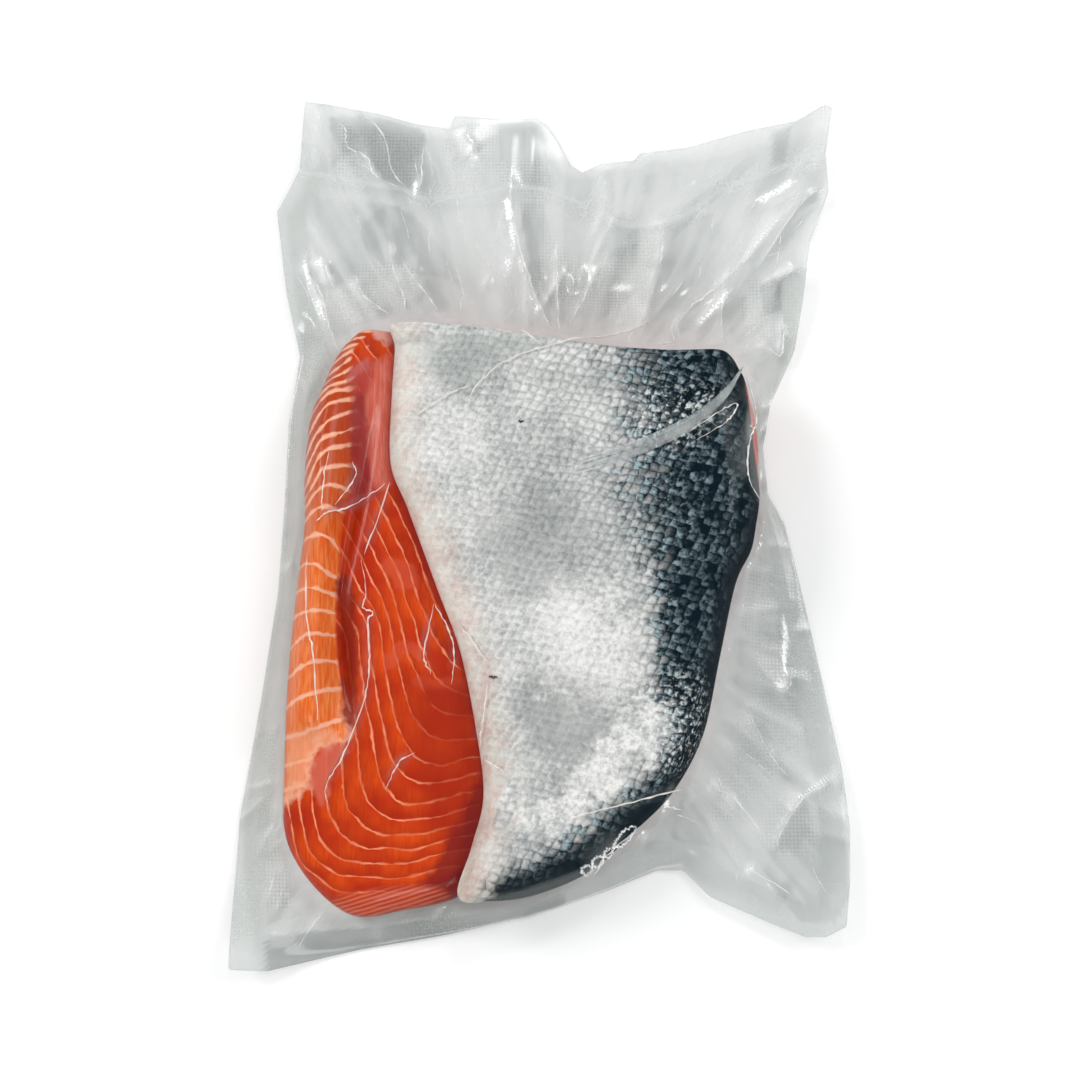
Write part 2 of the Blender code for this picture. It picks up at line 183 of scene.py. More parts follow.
def rings(middle, outline, depths, count):
    """Places on straight lines from the middle to the outline: rings at these depths in, then even ones."""
    centre = np.array(middle, float)
    reach = np.linalg.norm(outline - centre, axis=1)[:, None]
    near = 1 - np.array(depths)[None, :] / reach
    far = near[:, -1:] * (1 - 0.98 * np.arange(1, count + 1) / count)
    share = np.hstack([near, far])[..., None]
    places = centre + share * (outline[:, None, :] - centre)
    return places[..., 0].T, places[..., 1].T


def put(name, points, faces, material):
    """An object with a mesh of points in mm, which rides on the pack."""
    mesh = bpy.data.meshes.new(name)
    mesh.from_pydata((points * MM).tolist(), [], faces)
    mesh.materials.append(material)
    made = bpy.data.objects.new(name, mesh)
    bpy.context.scene.collection.objects.link(made)
    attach(made, "root")
    return made


def piece(name, rows, facts, material, shut=True):
    """A piece from rings of points in mm, shut at each end by a fan to the middle of its last ring.

    facts are numbers at each point, which the material reads by name.
    """
    count, around = rows.shape[:2]
    i = np.arange(around)
    j = (i + 1) % around
    start = np.arange(count - 1)[:, None] * around
    quads = np.stack([start + i, start + around + i, start + around + j, start + j], -1).reshape(-1, 4)
    last, top, end = (count - 1) * around, count * around, count * around + 1
    fans = [np.stack([last + i, np.full(around, end), last + j], -1)]
    if shut:
        fans.append(np.stack([j, np.full(around, top), i], -1))
    points = np.vstack([rows.reshape(-1, 3), rows[0].mean(0), rows[-1].mean(0)])
    made = put(name, points, quads.tolist() + np.vstack(fans).tolist(), material)
    for fact, value in facts.items():
        value = np.broadcast_to(value, (count, around))
        value = np.concatenate([value.ravel(), [value[0].mean(), value[-1].mean()]]).astype(np.float32)
        made.data.attributes.new(fact, "FLOAT", "POINT").data.foreach_set("value", value)
    corners = points[quads]
    volume = (corners[:, 0] * np.cross(corners[:, 1], corners[:, 2])).sum()
    volume += (corners[:, 0] * np.cross(corners[:, 2], corners[:, 3])).sum()
    if volume < 0:
        made.data.flip_normals()
    made.data.shade_smooth()
    return made


# Fat lines between the sheets, numbered from the upper right to the lower left, and the bands
# across the flap, numbered from its pointed end down. The plate through them is eased by PLATE_EASE.
PLATE_EASE = 40.0
SHEETS = (
    ((-52, -29), (-49, -37), (-46, -43), (-44, -49), (-40, -55)),
    ((-60, -20), (-56, -28), (-55, -34), (-52, -41), (-50, -48), (-46, -58), (-44, -64)),
    ((-66, -21), (-62, -27), (-59, -35), (-57, -43), (-55, -51), (-53, -58), (-50, -64), (-47, -71),
     (-41, -79), (-29, -81)),
    ((-71, -21), (-65, -33), (-62, -40), (-60, -49), (-57, -60), (-53, -75), (-51, -81), (-44, -88),
     (-39, -90), (-29, -90)),
    ((-72, -33), (-68, -37), (-63, -50), (-62, -63), (-59, -78), (-56, -87), (-53, -92), (-47, -99),
     (-40, -100), (-28, -97)),
    ((-69, -50), (-68, -58), (-66, -67), (-64, -78), (-61, -91), (-59, -97), (-53, -104), (-46, -107),
     (-34, -105), (-27, -103)),
    ((-72, -50), (-71, -65), (-70, -74), (-67, -84), (-66, -92), (-64, -101), (-61, -109), (-53, -115),
     (-42, -113), (-29, -110)),
    ((-74, -72), (-73, -87), (-71, -104), (-69, -112), (-61, -119), (-55, -121), (-47, -120), (-38, -119),
     (-30, -116)),
    ((-78, -98), (-77, -108), (-76, -116), (-72, -120), (-61, -127), (-53, -126), (-42, -125), (-34, -123)),
    ((-84, -108), (-83, -116), (-81, -122), (-78, -125), (-67, -132), (-61, -130), (-50, -132),
     (-34, -127)),
    ((-89, -113), (-88, -121), (-87, -126), (-82, -132), (-77, -136), (-68, -137), (-54, -137),
     (-44, -134)),
    ((-95, -109), (-94, -116), (-92, -125), (-90, -132), (-83, -139), (-73, -141), (-60, -143)),
    ((-99, -116), (-97, -126), (-93, -138), (-84, -144), (-78, -148), (-63, -147)),
    ((-100, -127), (-100, -133), (-91, -144), (-82, -153)),
)
BANDS = (
    ((-74, 65), (-71, 64), (-68, 62)),
    ((-80, 59), (-75, 63), (-70, 62), (-67, 59)),
    ((-86, 53), (-80, 54), (-76, 58), (-71, 59), (-67, 56)),
    ((-88, 49), (-79, 51), (-74, 55), (-69, 54)),
    ((-91, 43), (-86, 47), (-79, 48), (-75, 50)),
    ((-91, 36), (-89, 39), (-79, 44)),
    ((-94, 24), (-89, 31), (-80, 38), (-76, 40)),
    ((-94, 19), (-89, 27), (-79, 31), (-75, 34)),
    ((-93, 11), (-89, 20), (-83, 24), (-75, 27)),
    ((-93, 7), (-89, 14), (-83, 16), (-76, 18)),
    ((-92, 5), (-88, 8), (-83, 9), (-78, 8)),
    ((-93, -2), (-88, -1), (-82, 0)),
    ((-94, -11), (-89, -11), (-83, -13), (-79, -20)),
    ((-96, -22), (-91, -22), (-85, -25), (-80, -28)),
    ((-97, -32), (-92, -32), (-86, -33), (-81, -34)),
    ((-98, -42), (-91, -41), (-81, -41)),
    ((-97, -53), (-93, -50), (-81, -50)),
    ((-98, -65), (-93, -62), (-81, -60)),
    ((-98, -76), (-93, -74), (-78, -70)),
    ((-99, -89), (-93, -88), (-86, -85), (-76, -82)),
)
FLAP_LOOP = (
    (-66, 80), (-77, 66), (-76, 54), (-75, 42), (-73, 27), (-77, 8), (-80, -3), (-81, -20), (-82, -40),
    (-81, -60), (-78, -75), (-76, -88), (-82, -92), (-89, -94), (-91, -105), (-96, -109), (-112, -109),
    (-112, 20), (-90, 80),
)


def numbering(x, y, lines):
    """A number at each place that takes each line's own number along it, and the mm from one to the next.

    It is a thin plate bent through the lines' points: a plane plus r^2 log r from each point.
    """
    at = np.array([point for line in lines for point in line], float)
    number = np.repeat(np.arange(len(lines), dtype=float), [len(line) for line in lines])

    def plate(px, py):
        r2 = (px[..., None] - at[:, 0]) ** 2 + (py[..., None] - at[:, 1]) ** 2
        return np.concatenate([r2 * np.log(r2 + 1e-3), np.stack([px, py, np.ones_like(px)], -1)], -1)

    rows = plate(at[:, 0], at[:, 1])
    rows[:, : len(at)] += PLATE_EASE * np.eye(len(at))
    square = np.vstack([rows, np.hstack([rows[:, len(at) :].T, np.zeros((3, 3))])])
    weight = np.linalg.solve(square, np.concatenate([number, np.zeros(3)]))
    value = plate(x, y) @ weight
    slope = np.hypot(plate(x + 1, y) @ weight - value, plate(x, y + 1) @ weight - value)
    return value, 1 / np.maximum(slope, 0.04)


# Places where the flesh changes colour: colour, strength, mm over which it fades in, and loop in plan
FLESH_PATCHES = {
    "deep": ("#A32306", 0.75, 5.0, ((-79, 4), (-67, 7), (-70, -12), (-74, -26), (-80, -24), (-77, -4))),
    # A painted shadow along the floor of the groove beside the flap
    "groove_floor": ("#7E1805", 0.9, 3.0, (
        (-81, -28), (-75, -30), (-73, -50), (-73, -82), (-77, -84), (-79, -60),
    )),
    "lining": ("#AC403C", 0.75, 2.0, (
        (-77, 58), (-65, 60), (-62, 44), (-61, 12), (-83, -1), (-77, 11), (-77, 41),
    )),
    "lining_dark": ("#8C2A2C", 0.7, 3.0, ((-77, 44), (-70, 44), (-68, 14), (-74, 2), (-77, 14))),
    "strings": ("#D2604A", 0.7, 3.0, ((-67, 60), (-59, 62), (-60, 44), (-61, 12), (-68, 13), (-71, 44))),
    "pale_tip": ("#D9A294", 0.8, 2.0, ((-68, 80), (-58, 80), (-59, 70), (-67, 70))),
    "flap_end": ("#E9A07C", 0.6, 3.0, (
        (-99, -89), (-93, -87), (-87, -86), (-79, -89), (-86, -92), (-90, -99), (-92, -105), (-96, -109),
        (-100, -109),
    )),
    "flap_lining": ("#CD6450", 0.75, 2.0, (
        (-78, -91), (-77, -95), (-82, -104), (-85, -116), (-89, -111), (-90, -101), (-86, -93),
    )),
    "arch": ("#D2583C", 0.4, 1.0, (
        (-62, -64), (-62, -57), (-57, -53), (-53, -52), (-48, -54), (-47, -62), (-53, -58),
    )),
    "notch": ("#CC5034", 0.45, 1.0, ((-50, -67), (-31, -67), (-31, -71), (-48, -71))),
    "under_notch": ("#A82A10", 0.75, 3.0, ((-46, -72), (-30, -71), (-29, -80), (-36, -81), (-41, -79))),
    "pink_north": ("#CC5238", 0.5, 1.5, ((-64, -19), (-52, -22), (-50, -30), (-58, -31))),
    "blood_line": ("#8A2832", 0.85, 4.0, (
        (-27, -130), (-31, -137), (-37, -143), (-45, -147), (-40, -153), (-28, -152),
    )),
    "deep_right": ("#A02206", 0.7, 10.0, (
        (-52, -70), (-30, -72), (-25, -100), (-30, -128), (-42, -124), (-48, -100),
    )),
    "maroon": ("#781516", 0.8, 4.0, (
        (-26, -104), (-31, -116), (-36, -127), (-42, -138), (-48, -146), (-40, -154), (-28, -152),
        (-20, -136), (-15, -114),
    )),
    "end_face": ("#A8311C", 0.75, 3.0, (
        (-86, -158), (-80, -150), (-68, -147), (-46, -145), (-36, -149), (-38, -156), (-62, -160),
    )),
}


def colour(code):
    """An sRGB hex colour as linear light: c / 12.92, or ((c + 0.055) / 1.055)^2.4 above 0.04045."""
    c = np.array([int(code[i : i + 2], 16) / 255 for i in (1, 3, 5)])
    return (*np.where(c > 0.04045, ((c + 0.055) / 1.055) ** 2.4, c / 12.92).tolist(), 1.0)


def add(tree, kind, inputs=None, out=0, **settings):
    """Adds a shader node and returns one of its outputs.

    inputs are its sockets by name or number, each with a value or a socket to link; settings are its own.
    """
    made = tree.nodes.new("ShaderNode" + kind)
    for name, value in settings.items():
        setattr(made, name, value)
    for name, value in (inputs or {}).items():
        if isinstance(value, bpy.types.NodeSocket):
            tree.links.new(value, made.inputs[name])
        else:
            made.inputs[name].default_value = value
    return made.outputs[out]


def blank(name):
    """A new material's node tree, its shader, and each place in the object in millimetres."""
    material = bpy.data.materials.new(name)
    material.use_nodes = True
    tree = material.node_tree
    where = add(tree, "TexCoord", out=3)
    place = add(tree, "Mapping", {"Vector": where, "Scale": (1000, 1000, 1000)})
    return material, tree, tree.nodes["Principled BSDF"], place


def fat_lines(tree, drift, swell, number, gap, half_width, wander):
    """1 on the lines where the number is whole and 0 between them; noises shift and widen them."""
    drift = add(tree, "MapRange", {0: drift, 3: -wander, 4: wander})
    number = add(tree, "Math", {0: number, 1: drift}, operation="ADD")
    to_line = add(tree, "Math", {0: number, 1: 0.5}, operation="PINGPONG")
    to_line = add(tree, "Math", {0: to_line, 1: gap}, operation="MULTIPLY")
    edge = add(tree, "MapRange", {0: swell, 1: 0.3, 2: 0.72, 3: 0.3 * half_width, 4: 2.1 * half_width})
    core = add(tree, "Math", {0: edge, 1: 0.25}, operation="MULTIPLY")
    line = {0: to_line, 1: core, 2: edge, 3: 1.0, 4: 0.0}
    return add(tree, "MapRange", line, interpolation_type="SMOOTHSTEP")


# Raw salmon muscle, wet and cut with a knife: translucent orange-red, with fat as pale pink lines,
# fine fibres across each sheet, and a wet gloss where the film is pressed on it.
MUSCLE, MUSCLE_LIGHT, MUSCLE_FIBRE, MUSCLE_PAINTED_SHADE = "#BA2B03", "#DA4A08", "#981E03", "#981E02"
FAT, FLAP_MUSCLE, FLAP_FIBRE, FLAP_FAT = "#EE9068", "#E0601C", "#EE8C4E", "#F1B090"
FLAP_DEEP, STRING, HATCH = "#AA2E07", "#D98E7C", "#E07A5C"
FLESH_IOR, FLESH_ROUGHNESS, FLESH_SHINE = 1.40, 0.30, 0.14
FLESH_COAT, WET_ROUGHNESS = 0.12, 0.06
# The painted shade on the lower flesh along the upper fillet's edge, and how wide it is in mm
SHADE_BESIDE_SKIN, SHADE_BESIDE_SKIN_WIDTH = "#982420", 3.2
# In mm, a fibre's width and length and the pitch of the knife's marks on the cut end. A wave texture at
# scale 1 has its crests WAVE_LENGTH apart.
FIBRE_ACROSS, FIBRE_ALONG, HATCH_PITCH = 0.5, 7.0, 1.6
FIBRE_TURN, HATCH_TURN = math.radians(-28), math.radians(-17)
WAVE_LENGTH = 0.314


def flesh_material(name, patches):
    """Muscle by sheets, the flap over it, the patches, the hatched end, the strings, then a painted shade."""
    material, tree, shader, place = blank(name)
    names = ("sheet", "sheet_gap", "band", "band_gap", "flap", "beside_skin", "end_face", "strings", *patches)
    fact = {n: add(tree, "Attribute", out=2, attribute_name=n) for n in dict.fromkeys(names)}
    drift = add(tree, "TexNoise", {"Vector": place, "Scale": 1 / 7, "Detail": 4.0, "Roughness": 0.62})
    swell = add(tree, "TexNoise", {"Vector": place, "Scale": 1 / 5, "Detail": 2.0})
    broad = add(tree, "TexNoise", {"Vector": place, "Scale": 1 / 13, "Detail": 2.0})

    tone = add(tree, "MapRange", {0: broad, 1: 0.35, 2: 0.68})
    muscle = add(tree, "Mix", {0: tone, 6: colour(MUSCLE), 7: colour(MUSCLE_LIGHT)}, 2, data_type="RGBA")
    sizes = (1 / FIBRE_ACROSS, 1 / FIBRE_ALONG, 1 / 3)
    fibre = add(tree, "Mapping", {"Vector": place, "Rotation": (0, 0, FIBRE_TURN), "Scale": sizes})
    fibre = add(tree, "TexNoise", {"Vector": fibre, "Scale": 1.0, "Detail": 3.0})
    fibre = add(tree, "MapRange", {0: fibre, 1: 0.45, 2: 0.75, 3: 0.0, 4: 0.55})
    # Each sheet is painted darker towards one side, a painted shade that makes the sheets look overlapped
    across = add(tree, "Math", {0: fact["sheet"]}, operation="FRACT")
    across = add(tree, "MapRange", {0: across, 1: 0.25, 2: 0.95, 4: 0.55})
    lines = fat_lines(tree, drift, swell, fact["sheet"], fact["sheet_gap"], 0.45, 0.2)
    faint = add(tree, "MapRange", {0: broad, 1: 0.4, 2: 0.62, 3: 1.0, 4: 0.35})
    faint = add(tree, "Math", {0: faint, 1: lines}, operation="MULTIPLY")
    for share, tint in ((fibre, MUSCLE_FIBRE), (across, MUSCLE_PAINTED_SHADE), (faint, FAT)):
        muscle = add(tree, "Mix", {0: share, 6: muscle, 7: colour(tint)}, 2, data_type="RGBA")

    upright = add(tree, "Mapping", {"Vector": place, "Scale": (1 / 0.8, 1 / 9, 1 / 3)})
    upright = add(tree, "TexNoise", {"Vector": upright, "Scale": 1.0, "Detail": 3.0})
    upright = add(tree, "MapRange", {0: upright, 1: 0.38, 2: 0.72})
    flap = add(tree, "Mix", {0: upright, 6: colour(FLAP_MUSCLE), 7: colour(FLAP_FIBRE)}, 2, data_type="RGBA")
    up = add(tree, "SeparateXYZ", {0: place}, out=1)
    deep = add(tree, "MapRange", {0: up, 1: -25.0, 2: 30.0, 4: 0.85})
    bands = fat_lines(tree, drift, swell, fact["band"], fact["band_gap"], 0.9, 0.12)
    for share, tint in ((deep, FLAP_DEEP), (bands, FLAP_FAT)):
        flap = add(tree, "Mix", {0: share, 6: flap, 7: colour(tint)}, 2, data_type="RGBA")
    on_flap = add(tree, "MapRange", {0: fact["flap"], 1: -0.6, 2: 0.6})
    look = add(tree, "Mix", {0: on_flap, 6: muscle, 7: flap}, 2, data_type="RGBA")

    frill = add(tree, "MapRange", {0: swell, 1: 0.3, 2: 0.7, 3: -2.0, 4: 2.0})
    frill = add(tree, "Math", {0: fact["flap"], 1: frill}, operation="ADD")
    frill = add(tree, "Math", {0: frill}, operation="ABSOLUTE")
    frill = add(tree, "MapRange", {0: frill, 1: 0.3, 2: 2.6, 3: 0.8, 4: 0.0})
    low_end = add(tree, "MapRange", {0: up, 1: -82.0, 2: -74.0, 3: 1.0, 4: 0.0})
    frill = add(tree, "Math", {0: frill, 1: low_end}, operation="MULTIPLY")
    layers = [(frill, FLAP_FAT)]
    fray = add(tree, "MapRange", {0: drift, 3: -4.0, 4: 4.0})
    for patch, (tint, strength, fade, _) in patches.items():
        depth = add(tree, "Math", {0: fact[patch], 1: fray}, operation="ADD")
        depth = add(tree, "MapRange", {0: depth, 1: -fade / 2, 2: fade / 2, 4: strength})
        layers.append((depth, tint))
    hatch = add(tree, "Mapping", {"Vector": place, "Rotation": (0, 0, HATCH_TURN)})
    hatch = {"Vector": hatch, "Scale": WAVE_LENGTH / HATCH_PITCH, "Distortion": 1.5}
    hatch |= {"Detail": 2.0, "Detail Scale": 0.5}
    hatch = add(tree, "TexWave", hatch, out=1, bands_direction="Y")
    end_face = add(tree, "MapRange", {0: fact["end_face"], 1: -1.0, 2: 2.0, 4: 0.6})
    hatch = add(tree, "Math", {0: hatch, 1: end_face}, operation="MULTIPLY")
    stringy = add(tree, "MapRange", {0: fact["strings"], 1: -2.0, 2: 2.0, 4: 0.6})
    stringy = add(tree, "Math", {0: stringy, 1: upright}, operation="MULTIPLY")
    # A painted shade on the lower flesh just beside the upper fillet's edge
    near = add(tree, "MapRange", {0: fact["beside_skin"], 1: 0.0, 2: SHADE_BESIDE_SKIN_WIDTH, 3: 0.7, 4: 0.0})
    layers += [(hatch, HATCH), (stringy, STRING), (near, SHADE_BESIDE_SKIN)]
    for share, tint in layers:
        look = add(tree, "Mix", {0: share, 6: look, 7: colour(tint)}, 2, data_type="RGBA")
    tree.links.new(look, shader.inputs["Base Color"])
    relief = add(tree, "Bump", {"Height": fibre, "Strength": 0.35, "Distance": 0.0003})
    tree.links.new(relief, shader.inputs["Normal"])
    shader.inputs["Roughness"].default_value = FLESH_ROUGHNESS
    shader.inputs["IOR"].default_value = FLESH_IOR
    shader.inputs["Specular IOR Level"].default_value = FLESH_SHINE
    shader.inputs["Coat Weight"].default_value = FLESH_COAT
    shader.inputs["Coat Roughness"].default_value = WET_ROUGHNESS
    return material


FLESH_AROUND = 460
FLESH_DEPTHS = np.concatenate([[0, 0.15, 0.5], np.arange(1, 42, 1.05)])
outline = evenly(LOWER, FLESH_AROUND)
x, y = rings(LOWER_MIDDLE, outline, FLESH_DEPTHS, 40)
flesh_top = np.stack([x, y, lower_top(x, y)], -1)
low_x, low_y = rings(LOWER_MIDDLE, outline, (0, 1.5, 3, 5, 8), 2)
flesh_base = np.stack([low_x, low_y, SKIN_BASE + LOWER_SKIN + LAYER_GAP + keel(low_x, low_y)], -1)
rows = np.concatenate([flesh_top[::-1], flesh_base])
x, y = rows[..., 0], rows[..., 1]
sheet, sheet_gap = numbering(x, y, SHEETS)
band, band_gap = numbering(x, y, BANDS)
facts = {"sheet": sheet, "sheet_gap": sheet_gap, "band": band, "band_gap": band_gap}
facts["flap"] = inside(x, y, curve(FLAP_LOOP, 4, closed=True))
facts["beside_skin"] = np.where(x > 40, 9, -inside(x, y, UPPER))
for patch, (_, _, _, loop) in FLESH_PATCHES.items():
    facts[patch] = inside(x, y, curve(loop, 4, closed=True))
lower_flesh = piece("salmon_lower_flesh", rows, facts, flesh_material("raw salmon muscle", FLESH_PATCHES))
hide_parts("lower_flesh")

# The skins: the lower fillet rests on its own, and the upper fillet's is uppermost. Salmon skin
# is a millimetre thick, black-blue on the back and silver down the side, under clear scales.

UPPER_UNDERSIDE = LOWER_TOP + LAYER_GAP
UPPER_LIP, LIP_START, LIP_SLOPE, LIP_THICKNESS = 5.0, 2.0, 6.0, 1.5
UPPER_SKIN = 1.4
# The upper fillet's crown, how it thins to the tail, its rolled edges, and the shallow valley across it
UPPER_BELLY_TOP, UPPER_CROWN, CROWN_PLACE = 27.0, 15.5, 0.62
TAIL_START, TAIL_LENGTH, TAIL_THINNING = -50, 95, 0.48
UPPER_BACK_ROLL, UPPER_CUT_ROLL, BACK_BLEND = 18.0, 4.0, 22.0
VALLEY_LINE = ((-28, -56), (-10, -72), (6, -75), (21, -76), (36, -72), (66, -53))
VALLEY_DEPTH, VALLEY_WIDTH, VALLEY_ENDS = 3.4, 8.0, 0.35
UPPER_MIDDLE = (20, -45)
VALLEY = curve(VALLEY_LINE, 6)


def upper_underside(x, y):
    """Flat on the lower fillet, then down past its edge in an S to a lip near the table."""
    past_lower = -inside(x, y, LOWER)
    return UPPER_UNDERSIDE - (UPPER_UNDERSIDE - UPPER_LIP) * smooth((past_lower - LIP_START) / LIP_SLOPE)


def upper_top(x, y):
    """A crown that climbs as c(2 - c) from belly to back, thins to the tail, and rolls down at its edge."""
    to_belly, to_back, to_cut = (distance(x, y, line)[0] for line in (BELLY, BACK, CUT))
    climb = np.clip(to_belly / (to_belly + to_back + 1e-3) / CROWN_PLACE, 0, 1)
    taper = 1 - TAIL_THINNING * smooth((TAIL_START - y) / TAIL_LENGTH)
    top = UPPER_BELLY_TOP + UPPER_CROWN * climb * (2 - climb) * taper
    valley, share = distance(x, y, VALLEY)
    ends = smooth(share / VALLEY_ENDS) * smooth((1 - share) / VALLEY_ENDS)
    top = top - VALLEY_DEPTH * bump(valley, VALLEY_WIDTH) * ends
    backness = smooth((np.minimum(to_belly, to_cut) - to_back) / BACK_BLEND + 0.60)
    edge = (1 - backness) * (top - UPPER_CUT_ROLL) + backness * (upper_underside(x, y) + LIP_THICKNESS)
    radius = UPPER_CUT_ROLL + (UPPER_BACK_ROLL - UPPER_CUT_ROLL) * backness
    return edge + (top - edge) * roll(inside(x, y, UPPER), radius)


def drop(points, thickness):
    """The same rings moved in along the surface's normal, the cross product of its two directions."""
    around = np.roll(points, -1, axis=1) - np.roll(points, 1, axis=1)
    normal = np.cross(np.gradient(points, axis=0), around)
    normal /= np.maximum(np.linalg.norm(normal, axis=-1, keepdims=True), 1e-9)
    normal[-1] = normal[-2].mean(axis=0) / np.linalg.norm(normal[-2].mean(axis=0))
    return points - thickness * normal * np.sign(normal[..., 2:].mean())


# Salmon skin: guanine crystals under clear scales, which the eye sees as a broken, soft silver, and
# dark pigment on the back. Each scale is painted lighter towards the tail, as painted light and shade,
# and has a dark edge, partly its own and partly a painted shadow under its trailing side.
SILVER_SHADE, SILVER_BRIGHT = "#8B9090", "#F0EFEB"
BACK_DARK, BACK_SCALE, BELLY_CREAM, BELLY_PINK = "#04161F", "#9CB1B7", "#DAD2C6", "#CFA898"
# The colour of the painted glints on the back, and a dark silver for painted shade and scale outlines
SPARKLE, SILVER_DARK = "#E6E8E4", "#868888"
SCALE_LONG, SCALE_WIDE = 5.6, 4.1
SCALE_TURN = math.radians(26)
# A square lattice, turned by 45 degrees and stretched by the root of 2, sets each row of scales half a
# scale over from the last. TO_TAIL is the tail's direction in it.
DIAMOND = 1.414
TO_TAIL = (-0.707, -0.707, 0)
CRINKLE = 1.9
DARK_BACK = (
    (31, 70), (32, 52), (36, 32), (34, 8), (38, -15), (41, -38), (42, -61), (42, -76), (50, -84),
    (40, -102), (22, -119), (2, -132), (-15, -141), (-22, -150), (-22, -170), (110, -170), (110, 70),
)
# The back's colour fades over a long way at the cut end and a short way at the tail. At the right, the
# flesh shows past the skin's edge as a thin rim.
FADE_LONG, FADE_SHORT, FADE_FROM, FADE_OVER = 0.75, 2.3, 5, 60
CUT_RIM, RIM_WIDTH = "#DB6A50", 1.7
SKIN_ROUGHNESS, SKIN_COAT = 0.28, 0.09
FAR_OFF = -30.0
# Loops in plan of painted light on the skin: the gleams and sparkles are painted highlights, and the two
# darker patches are painted shade
SKIN_PATCHES = {
    "gleam": ((-9, -117), (6, -110), (36, -78), (45, -74), (40, -91), (21, -113), (-2, -124)),
    "gleam_middle": ((6, -38), (25, -34), (34, -53), (30, -74), (17, -72), (8, -57)),
    "gleam_north": ((-57, 54), (-45, 48), (-25, 30), (-18, 2), (-25, -6), (-45, 14), (-56, 30)),
    "sparkle": ((39, -70), (58, -68), (60, -90), (48, -102), (36, -98)),
    "sparkle_top": ((33, 42), (60, 45), (66, 32), (50, 20), (35, 22)),
    "hollow": ((-12, -72), (18, -75), (25, -90), (10, -104), (-5, -99)),
    "hollow_north": ((-29, -4), (-2, 3), (18, -12), (4, -36), (-15, -36)),
}


